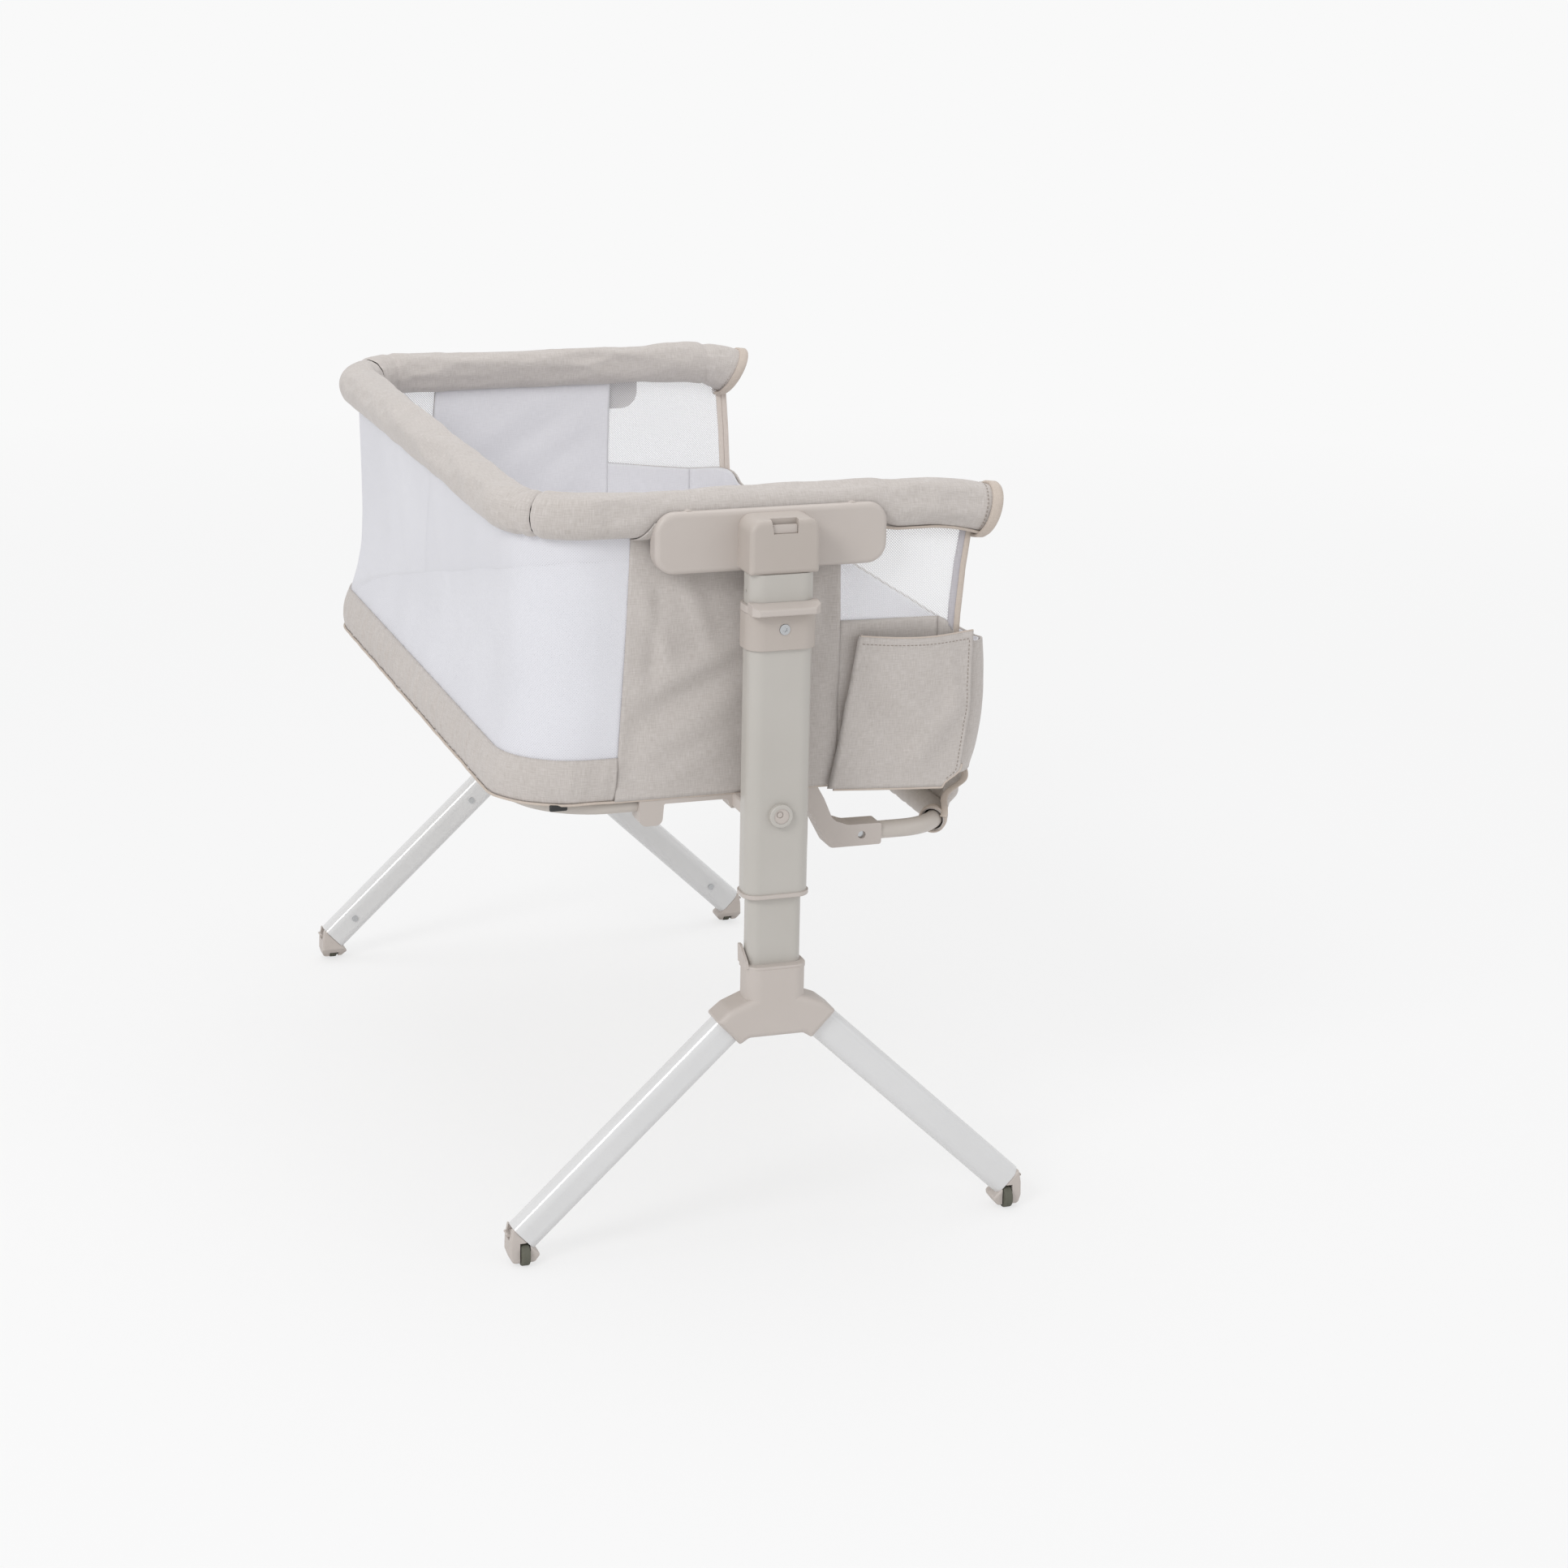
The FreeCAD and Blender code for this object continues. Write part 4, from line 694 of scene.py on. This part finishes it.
def cut_low(grid, top):
    """Squeezes a grid's heights, so that its upper edge is at top instead of at LOW_TOP."""
    grid[..., 2] = HEM + (grid[..., 2] - HEM) * (top - HEM) / (LOW_TOP - HEM)


def end_wall(end, seed, folds, low):
    """Grid of one end wall, drawn at the near end: its tall part, or the low part under the window."""
    heights = np.linspace(HEM, LOW_TOP, 40) if low else np.linspace(HEM, WALL_TOP, 62)
    spans = [(-LOW_END, -WINDOW_LEFT + 0.0006) if low else (-WINDOW_LEFT, linen_edge(z)) for z in heights]
    grid, across = wall_rows(heights, spans, 30 if low else 64)
    if low:
        cut_low(grid, np.interp(-across, *LOW_EDGE[end]))
    u, v = across, grid[..., 2]
    lift = np.zeros_like(u)
    for shape in folds:
        lift += fold(u, v, *shape)
    ends = smooth(v, HEM, 0.56) * (1 - smooth(v, 0.74, 0.785))
    lift += ripples(u + v * 0.3, (0.21, 0.13), seed, 0.0016) * ends
    lift *= smooth(u, -0.2, -0.185) * 0.5 + 0.5
    return lifted(grid, lift), across


# %% Folds of the two end walls, as start, end, width and height
NEAR_FOLDS = [
    ((0.010, 0.672), (0.150, 0.612), 0.013, 0.0047), ((0.020, 0.640), (0.158, 0.578), 0.015, -0.0036),
    ((0.020, 0.610), (0.150, 0.540), 0.018, 0.0040), ((0.117, 0.735), (0.128, 0.610), 0.009, -0.0032),
    ((0.095, 0.755), (0.055, 0.655), 0.011, 0.0032), ((0.145, 0.745), (0.100, 0.640), 0.010, 0.0029),
    ((0.140, 0.590), (0.155, 0.505), 0.014, -0.0022), ((-0.04, 0.745), (-0.08, 0.60), 0.011, 0.0029),
    ((-0.075, 0.74), (-0.06, 0.62), 0.010, -0.0022), ((-0.060, 0.665), (-0.10, 0.56), 0.014, -0.0029),
    ((0.03, 0.56), (0.13, 0.512), 0.014, 0.0022), ((-0.10, 0.66), (-0.16, 0.52), 0.016, 0.0014)]
FAR_FOLDS = [
    ((-0.07, 0.775), (0.11, 0.665), 0.014, 0.0022), ((-0.02, 0.785), (0.13, 0.695), 0.013, -0.0019),
    ((-0.07, 0.725), (0.05, 0.640), 0.014, 0.0020), ((0.06, 0.70), (0.15, 0.60), 0.013, 0.0016),
    ((-0.05, 0.67), (0.04, 0.60), 0.013, -0.0016)]

# %% End walls and their linings
PARTS = [("end_wall", (0.245, 0.2915), 0.071, 0.83), ("low_end_wall", (0.114, 0.182), 0.0207, 0.74)]
walls = {}
for end, seed, folds in (("near", 21, NEAR_FOLDS), ("far", 27, FAR_FOLDS)):
    for part, flat, area, lined_share in PARTS:
        grid, across = end_wall(end, seed, folds, part == "low_end_wall")
        inner = lifted(grid, -0.0035)
        if end == "near" and part == "end_wall":
            stitches("near_hem_stitches", grid[2, ::-1] + outward(grid)[2, ::-1] * 0.0006)
            stitches("near_side_stitches", grid[:, -2] + outward(grid)[:, -2] * 0.0006)
        if end == "far":
            grid, across, inner = mirrored(grid)[:, ::-1], across[:, ::-1], mirrored(inner)[:, ::-1]
        wall = hang(end + "_" + part, grid, across, linen, "linen", end + "_end_panel", CLOTH,
                    flat=flat, held="hung", rests_on=[rails[end]], area=area)
        walls.setdefault(end, wall)
        hang(wall.name + "_lining", inner[10:], across[10:], lining, "mesh", None, LINING,
             flat=flat, held="hung", rests_on=[wall], area=area * lined_share)

# %% The wall's shoulder, which laps over the rail beside the T-bar
theta = np.radians(np.linspace(-84, -12, 14))[:, None]
from_left = np.linspace(0, 1, 10)[None, :]
left_x, right_x = np.interp(np.degrees(theta), [-84, -12], [-0.149, -0.129]), -0.124
lap = FOAM + 0.0012
grid = np.stack([left_x + (right_x - left_x) * from_left, -(RAIL_Y + lap * np.cos(theta)) + 0 * from_left,
                 RAIL_Z + lap * np.sin(theta) + 0 * from_left], 2)
hang("near_wall_shoulder", grid, grid[..., 0], linen, "linen", "near_end_panel", -0.0014,
     flat=(0.034, 0.015), held="hung", rests_on=[rails["near"]])

# %% [markdown]
# ## Mesh on the long side and in the windows
# The long wall is one width of mesh from one end wall to the other, round both corners. It is
# stretched, so it has only faint vertical waves. The windows beside the end walls are a more open
# mesh in a lighter tone, which is painted light that comes through from behind. The window mesh is
# stretched between the rail, the linen and the zip.

# %% Mesh of the long side
def long_rows(heights, columns):
    """Grid of the long side from one end wall's edge to the other's."""
    spans = [(linen_edge(z), 2 * outline_loop(z)[3] - linen_edge(z)) for z in heights]
    return wall_rows(heights, spans, columns)


grid, across = long_rows(np.linspace(BAND_TOP, WALL_TOP, 44), 260)
share = (grid[..., 2] - BAND_TOP) / (WALL_TOP - BAND_TOP)
wave = ripples(across, (0.23, 0.15, 0.094), 31, 0.0014) * np.sin(math.pi * share)
grid = lifted(grid, wave)
hang("long_side_mesh", grid, across, net, "mesh", "mesh_panels",
     flat=(1.24, 0.24), held="stretched", rests_on=[rails[label] for label in ("long", "near", "far")])

# %% Mesh of the windows
WINDOW_RIGHT = {"near": ([0.664, 0.700, 0.745, 0.790], [0.2130, 0.2150, 0.2205, 0.2295]),
                "far": ([0.663, 0.728, 0.790], [0.2470, 0.2420, 0.2350])}


def window_grid(end, columns, first=0, last=None):
    """Grid from one distance beyond the window's right edge to another, or to its left edge."""
    heights = np.linspace(LOW_TOP - 0.004, WALL_TOP, 30)
    right = np.interp(heights, *WINDOW_RIGHT[end])
    spans = [(-edge - first, 0.004 - WINDOW_LEFT if last is None else -edge - last) for edge in right]
    grid, across = wall_rows(heights, spans, columns)
    share = (WALL_TOP - grid[..., 2]) / (WALL_TOP - LOW_TOP)
    grid[..., 2] -= (LOW_TOP - np.interp(-across, *LOW_EDGE[end])) * share
    if end == "far":
        grid, across = mirrored(grid)[:, ::-1], across[:, ::-1]
    return grid, across


for end in ("near", "far"):
    grid, across = window_grid(end, 30)
    lift = fold(across, grid[..., 2], (-0.10, 0.78), (-0.20, 0.69), 0.02, 0.0025)
    grid = lifted(grid, lift)
    hang(end + "_window_mesh", grid, across, open_net_painted_backlight, "mesh", "mesh_panels",
         flat=(0.142, 0.115), held="stretched", rests_on=[rails[end]])

# %% [markdown]
# ## The hem band
# A band of linen-look cloth closes the bottom of the long side. It is cut longer than the board
# that it goes round, so it is gathered: short vertical ripples that are deepest near the hem. A
# beige piping is sewn along its lower edge.

# %% Hem band and piping
heights = np.linspace(HEM, BAND_TOP, 16)
grid, across = long_rows(heights, 460)
share = (grid[..., 2] - HEM) / (BAND_TOP - HEM)
middle = np.array([outline_loop(z)[3] for z in heights])[:, None]
straight_part = 1 - smooth(np.abs(across - middle), 0.30, 0.42)
gathers = ripples(across + 0.15 * grid[..., 2], (0.031, 0.019, 0.047, 0.013), 41, 0.0034)
gathers = gathers * (0.30 + 0.70 * straight_part)
roll_in = -0.0035 * (1 - share) ** 2 + 0.0025 * np.sin(math.pi * share)
lift = gathers * np.sin(math.pi * np.clip(share * 0.9 + 0.05, 0, 1)) + roll_in
grid = lifted(grid, lift)
hang("hem_band_cloth", grid, across, linen, "linen", "hem_band", CLOTH,
     flat=(1.32, 0.05), held="gathered", rests_on=["base_board"])

middle = outline_loop(HEM)[3]
(hem_line,), (s,) = wall_rows([HEM], [(-0.195, 2 * middle + 0.195)], 620)
hem_line[:, 2] += ripples(s, (0.21, 0.09, 0.05), 44, 0.0006) - 0.0006
dress(sleeve("hem_piping", hem_line, 0.0015, piping, 8), "tape")

# %% [markdown]
# ## The low wall on the open side
# On the open side the wall is low, so that a parent can reach in. Its top edge sags a little
# between the two ends, and falls away from the windows at the corners.

# %% Low wall
heights = np.linspace(HEM, LOW_TOP, 34)
half, half_across = wall_rows(heights, [(outline_loop(z)[2][0], -LOW_END) for z in heights], 64)
grid = np.concatenate([mirrored(half)[:, :0:-1], half], 1)
across = np.concatenate([(2 * half_across[:, :1] - half_across)[:, :0:-1], half_across], 1)
off = np.abs(grid[..., 1])
near_top = np.minimum(np.interp(off, [0, 0.340, 0.415, 0.441, 0.446], [0.640, 0.642, 0.646, 0.650, 0.690]),
                      np.interp(grid[..., 0], *LOW_EDGE["near"]))
far_top = np.interp(off, [0, 0.340, 0.415, 0.441, 0.452], [0.640, 0.643, 0.652, 0.664, 0.667])
top = np.where(grid[..., 1] < 0, near_top, far_top)
cut_low(grid, top)
share = (grid[..., 2] - HEM) / (LOW_TOP - HEM)
lift = ripples(across, (0.19, 0.12, 0.33), 51, 0.0016) * np.sin(math.pi * share)
grid = lifted(grid, lift)
low_wall = hang("bed_side_low_wall", grid, across, linen, "linen", "bed_side_wall", CLOTH,
                flat=(1.0, 0.15), held="stretched", rests_on=["base_board"])
hang("bed_side_lining", lifted(grid, -0.0034)[8:], across[8:], lining, "mesh", None, LINING,
     flat=(1.0, 0.115), held="stretched", rests_on=[low_wall])

# %% [markdown]
# ## The pocket on the near end
# The pocket is a flat patch that is sewn on at its two sides and its bottom, and cut wider than
# its place, so it bows out at the top. The spare width is folded back behind its left edge. Beige
# piping closes its bottom edge and its lip.

# %% Pocket
rows, columns = 44, 60
t = np.linspace(0, 1, columns)[None, :]
h = np.linspace(0, 1, rows)[:, None]
left_edge = 0.0826 + 0.0245 * h
right_edge = 0.2110 + 0.0200 * smooth(h, 0, 0.11)
right_edge = right_edge + np.interp(h, [0, 0.1, 0.5, 1], [0, 0.001, 0.0095, 0.0096])
x = left_edge + (right_edge - left_edge) * t
bottom = 0.4946 - 0.0076 * t
top = 0.667 - 0.003 * t - 0.0035 * np.sin(math.pi * t)
z = bottom + (top - bottom) * h
stand_off = 0.72 + 0.28 * np.sin(math.pi * t) - 0.40 * smooth(t, 0.55, 1)
bow = (0.0020 + 0.0115 * h) * stand_off
POCKET_FOLDS = [
    ((0.115, 0.64), (0.20, 0.55), 0.018, 0.0052), ((0.235, 0.60), (0.17, 0.51), 0.014, 0.0050),
    ((0.10, 0.60), (0.17, 0.535), 0.014, -0.0036), ((0.21, 0.655), (0.225, 0.56), 0.008, 0.0018)]
y = -0.4555 - bow - sum(fold(x, z, *shape) for shape in POCKET_FOLDS)
front = np.stack([x + 0 * h, y, z + 0 * t], 2)
gusset_share = np.linspace(0, 1, 9)[None, :-1]
back_x, back_y = left_edge + 0.007, -0.4540 + 0 * h
gusset = np.stack([back_x + (front[:, :1, 0] - back_x) * gusset_share,
                   back_y + (front[:, :1, 1] - back_y) * gusset_share,
                   front[:, :1, 2] + 0 * gusset_share], 2)
grid = np.concatenate([gusset, front], 1)
hang("end_pocket_patch", grid, grid[..., 0], linen, "linen", "end_pocket", -0.0016,
     flat=(0.165, 0.165), held="hung", rests_on=[walls["near"]])
stitches("pocket_top_stitches", front[-3, 1:-1] - [0, 0.0018, 0])
stitches("pocket_side_stitches", front[2:-2, -3] - [0, 0.0018, 0])
lip = front[-1] + [0, -0.0006, 0.0004]
dress(sleeve("pocket_lip_piping", lip, 0.0011, piping, 8), "tape")
foot = np.concatenate([front[0] + [0, -0.0008, -0.0012], front[1:7, -1] + [0.0006, -0.0008, 0]])
dress(sleeve("pocket_foot_piping", foot, 0.0013, piping, 8), "tape")

# %% [markdown]
# ## The lowered side and its loop round the bar
# The fourth side of the crib is let down. It hangs from the hem in bunched folds and ends in a
# loop round the plug-in bar. The bar pulls out, and the loop round it goes with the bar.

# %% The bar's line
BAR_X, BAR_Y, BAR_Z, BAR_BEND = 0.232, 0.438, 0.4366, 0.060


def bar_line(count):
    """The bar's line, with 42 degrees of the bend at each end."""
    a = np.linspace(math.radians(42), 0, 14)[:-1]
    near = np.stack([BAR_X - BAR_BEND + BAR_BEND * np.cos(a), -BAR_Y + BAR_BEND - BAR_BEND * np.sin(a)], 1)
    line = np.concatenate([near, near[::-1] * [1, -1]])
    s = distances(line)
    even = np.linspace(0, s[-1], count)
    x, y = (np.interp(even, s, line[:, c]) for c in (0, 1))
    return np.stack([x, y, np.full(count, BAR_Z)], 1)


# %% Lowered side cloth
rows, columns = 40, 420
h = np.linspace(0, 1, rows)[:, None, None]
low = bar_line(columns)
first = float(outline_loop(0.510)[2][0])
(half,), _ = wall_rows([0.510], [(first, first + 0.402)], columns // 2)
high = np.concatenate([half[::-1], mirrored(half)])
way = np.gradient(low, axis=0)
out = np.stack([-way[:, 1], way[:, 0], 0 * way[:, 0]], 1)
out /= np.linalg.norm(out, axis=1, keepdims=True)
out *= np.sign((out * low * [1, 0.2, 0]).sum(1, keepdims=True))
length = np.linspace(-0.42, 0.42, columns)[None, :]
share = h[..., 0]
at_end = smooth(np.abs(length), 0.30, 0.40)
bunch = ripples(length + 0.030 * share, (0.058, 0.037, 0.083, 0.022), 61, 0.0058)
bunch = bunch + 0.0060 * at_end * np.sin(2 * math.pi * (np.abs(length) - 0.4 + 0.045 * share) / 0.030)
drop_by = ripples(length - 0.02 * share, (0.13, 0.07), 62, 0.004)
belly = np.interp(share, [0, 0.2, 0.45, 0.75, 0.9, 1], [0.0012, 0.0065, 0.0095, 0.0100, 0.0105, 0.0122])
grid = high[None] * (1 - h) + low[None] * h
grid = grid + out[None] * (belly + bunch * np.sin(math.pi * share) ** 0.7)[..., None]
grid[..., 2] += drop_by * np.sin(math.pi * share) + 0.004 * share
drop = hang("lowered_side_cloth", grid, length + 0 * share, linen, "linen", "drop_panel", -CLOTH, None,
            flat=(0.86, 0.085), held="gathered", rests_on=["u_bar"])
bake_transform(drop)
for label, column in (("near", 0), ("far", -1)):
    edge = ribbon(label + "_lowered_side_binding", grid[:, column] + out[column] * 0.001, out[column],
                  0.0065, piping, thick=0.0026, body=None)
    dress(edge, "tape")
    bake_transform(edge)

# %% Loop round the bar
loop_line = bar_line(220)
loop = sleeve("bar_loop_sleeve", loop_line,
              lambda s, a: 0.0124 + ripples(s + 0.01 * np.sin(a), (0.04, 0.026, 0.017), 63, 0.0008),
              linen, 26, thick=0.0016, body="bar")
dress(loop, "linen", "drop_loop", flat=(0.78, 0.078), held="stretched", rests_on=["u_bar"])
for label, first, second in (("near", 0, 5), ("far", -1, -6)):
    way = loop_line[second] - loop_line[first]
    mouth = np.array([loop_line[first] + way * k for k in (-0.05, 0.1, 0.25, 0.4)])
    dress(sleeve(label + "_loop_mouth_binding", mouth, 0.0135, piping, 26, thick=0.0022, body="bar"), "tape")

# %% [markdown]
# ## Mattress
# A thin foam mattress lies on the board. Its jersey cover is quilted in diamonds, so the top is
# a soft grid of pillows. It is built from rings that are drawn in step by step, from its underside
# over its round edge to its middle. One ring stands out a little: the piping round the edge.

# %% Rings of the mattress
MIDDLE_X, UNDERSIDE, POINTS, QUILT = -0.0095, 0.5043, 240, 0.062
rings = [(UNDERSIDE, 0.014), (0.5050, 0.006), (0.510, 0.001), (0.517, 0.0), (0.530, 0.0), (0.537, 0.0005),
         (0.5405, -0.0012), (0.544, 0.001), (0.5475, 0.006), (0.5495, 0.014)]
rings += [(0.5500, 0.014 + 0.012 * k) for k in range(1, 20)]


def mattress_ring(inset, z):
    """One ring of the mattress, drawn in by an inset."""
    half_x, half_y, r = 0.2585 - inset, 0.440 - inset, max(0.076 - inset * 0.55, 0.010)
    r = min(r, half_x * 0.98)
    a = np.linspace(0, math.pi / 2, 24)
    cos, sin = half_x - r + r * np.cos(a), half_y - r + r * np.sin(a)
    turned_x, turned_y = half_x - r + r * np.sin(a), half_y - r + r * np.cos(a)
    corners = [(cos, sin), (-turned_x, turned_y), (-cos, -sin), (turned_x, -turned_y)]
    x = np.concatenate([c[0] for c in corners] + [[half_x]])
    y = np.concatenate([c[1] for c in corners] + [[half_y - r]])
    d = distances(np.stack([x, y], 1))
    s = np.linspace(0, d[-1], POINTS, endpoint=False)
    return np.stack([np.interp(s, d, x) + MIDDLE_X, np.interp(s, d, y), np.full(POINTS, z)], 1)


# %% Quilted cover
grid = np.array([mattress_ring(inset, z) for z, inset in rings])
p, q = (grid[..., 0] + grid[..., 1]) / QUILT, (grid[..., 0] - grid[..., 1]) / QUILT
stitch = np.minimum(np.abs(p - np.round(p)), np.abs(q - np.round(q)))
pillow = 0.0028 * (1 - np.exp(-(stitch / 0.16) ** 2)) * smooth(grid[..., 2], 0.546, 0.5498)
grid[..., 2] += pillow
ends = [np.repeat(np.array([[point]]), POINTS, 1) for point in ((MIDDLE_X, 0, UNDERSIDE), grid[-1].mean(0))]
grid = np.concatenate([ends[0], grid, ends[1]])
across = np.concatenate([grid[..., 0], grid[:, :1, 0]], 1)
along = np.concatenate([grid[..., 1] + grid[..., 2], grid[:, :1, 1] + grid[:, :1, 2]], 1)
mattress = cloth_piece("quilted_mattress", grid, across, along, cover, closed=True)
dress(mattress, "mattress_cover", "mattress")

# %% [markdown]
# ## Tapes
# A twill tape binds each raw edge that shows: the open ends of the rail sleeves, the seam under
# them, and the edge of the window that the zip is sewn to, which curves because the cloth pulls
# on it. At the far end that binding is seen from inside, where it hides the zip. There its tapes
# take a paler copy of the binding, whose lighter tone is painted light coming through from behind.

# %% Edge tapes
STRIPS = [("edge_tape", 0.006, 0.0130), ("zip_tape", -0.001, 0.0065)]
# The far tapes take the paler binding, whose lighter tone is painted light from behind.
STRIP_FINISHES = {"near": (piping, zip_tape), "far": (backlit_piping_painted, backlit_piping_painted)}
TAPE_RADIUS = FOAM + 0.0014
for end, flip in (("near", 1), ("far", -1)):
    reach = np.array([-0.006, -0.0035, 0, 0.003, 0.0048, 0.0054])
    middle = rail_height(RAIL_END, end)
    ring_path = np.stack([RAIL_END + reach, np.full(6, -RAIL_Y * flip), middle - 0.1 * reach], 1)
    lip = sleeve(end + "_rail_end_binding", ring_path,
                 lambda s, a: FOAM + 0.0017 + 0.0005 * np.sin(3 * a + 1) - 0.0016 * smooth(s, 0.0085, 0.0116),
                 piping, 44, thick=0.0034)
    move_vertices(lip.data, lean(vertex_points(lip.data), end))
    dress(lip, "tape", "edge_tapes", flat=(0.17, 0.0115), held="folded", rests_on=[rails[end]])
    a = np.linspace(0, 2 * math.pi, 90)
    ring = np.stack([np.full_like(a, RAIL_END - 0.0095), -RAIL_Y * flip + TAPE_RADIUS * np.cos(a),
                     middle + 0.0028 + TAPE_RADIUS * np.sin(a)], 1)
    stitches(end + "_rail_end_stitches", lean(ring, end))
    x = np.linspace(0.132, 0.252, 30)
    low = math.radians(-62)
    across_tape = (0, math.sin(low) * flip, math.cos(low))
    under_line = np.stack([x, np.full_like(x, -(RAIL_Y + TAPE_RADIUS * math.cos(low)) * flip),
                           rail_height(x, end) + TAPE_RADIUS * math.sin(low)], 1)
    dress(ribbon(end + "_rail_underside_tape", lean(under_line, end), across_tape, 0.005, piping,
                 thick=0.0016), "tape")
    for (label, first, last), finish in zip(STRIPS, STRIP_FINISHES[end]):
        grid, across = window_grid(end, 6, first, last)
        grid = lifted(grid, 0.0012 + 0.0010 * np.sin(math.pi * np.linspace(0, 1, 6))[None])
        hang(end + "_window_" + label, grid, across, finish, "tape", "edge_tapes", CLOTH)

# %% [markdown]
# ## Floor and light
# The picture is a product shot on a white ground. The floor is pale and wide, and it keeps a soft
# shadow. For camera rays it is mixed with plain white, so that it fades into the background with
# no more light on the crib. The world is seen by glossy rays too, so the lacquer mirrors white.
# Three large soft lamps light the crib at a plain level: a key from the upper left, a weak fill
# from the right, and one from above that reaches into the basket.

# %% Floor
floor_mesh = bpy.data.meshes.new("floor")
floor_mesh.from_pydata([(-60, -60, 0), (60, -60, 0), (60, 60, 0), (-60, 60, 0)], [], [(0, 1, 2, 3)])
add_piece("floor", floor_mesh)
ground, tree = new_finish("white_studio_floor")
rays = add(tree, "LightPath")
matt = add(tree, "BsdfDiffuse", {"Color": linear("#F4F4F4")})
plain = add(tree, "Emission", {"Color": linear("#F9F9F9"), "Strength": 1})
place = add(tree, "TexCoord").outputs["Object"]
away = add(tree, "VectorMath", {"operation": "LENGTH"}, {0: place})
whiter = add(tree, "MapRange", {"From Min": 0.8, "From Max": 4.5, "To Min": 0.72, "To Max": 1},
             {"Value": away.outputs["Value"]})
seen_part = add(tree, "Math", {"operation": "MULTIPLY"},
                {0: rays.outputs["Is Camera Ray"], 1: whiter.outputs[0]})
mixed = add(tree, "MixShader", {}, {0: seen_part.outputs[0], 1: matt.outputs[0], 2: plain.outputs[0]})
add(tree, "OutputMaterial", {}, {"Surface": mixed.outputs[0]})
floor_mesh.materials.append(ground)

# %% World
world = bpy.data.worlds.new("studio")
bpy.context.scene.world = world
world.use_nodes = True
tree = world.node_tree
tree.nodes.clear()
rays = add(tree, "LightPath")
seen = rays.outputs["Is Camera Ray"]
for ray in ("Is Glossy Ray", "Is Transmission Ray"):
    seen = add(tree, "Math", {"operation": "MAXIMUM"}, {0: seen, 1: rays.outputs[ray]}).outputs[0]
dim = add(tree, "Background", {"Color": linear("#FEFEFF"), "Strength": 0.66})
bright = add(tree, "Background", {"Color": linear("#F9F9F9"), "Strength": 1})
sky = add(tree, "MixShader", {}, {0: seen, 1: dim.outputs[0], 2: bright.outputs[0]})
add(tree, "OutputWorld", {}, {"Surface": sky.outputs[0]})


# %% Lamps
def lamp(name, place, aim, width, watts):
    """A square soft lamp that points at a place on the crib."""
    light = bpy.data.lights.new(name, "AREA")
    light.size, light.energy = width, watts
    made = add_piece(name, light)
    made.location = place
    made.rotation_euler = (Vector(aim) - Vector(place)).to_track_quat("-Z", "Y").to_euler()


lamp("key", (-4.4, -3.4, 4.4), (0, 0, 0.6), 2.2, 140)
lamp("fill", (2.8, -2.8, 2.0), (0, 0, 0.5), 2.2, 12)
lamp("top", (0.2, 0.6, 3.8), (0, 0, 0.6), 2.4, 31)

bpy.context.scene.view_settings.view_transform = "Standard"
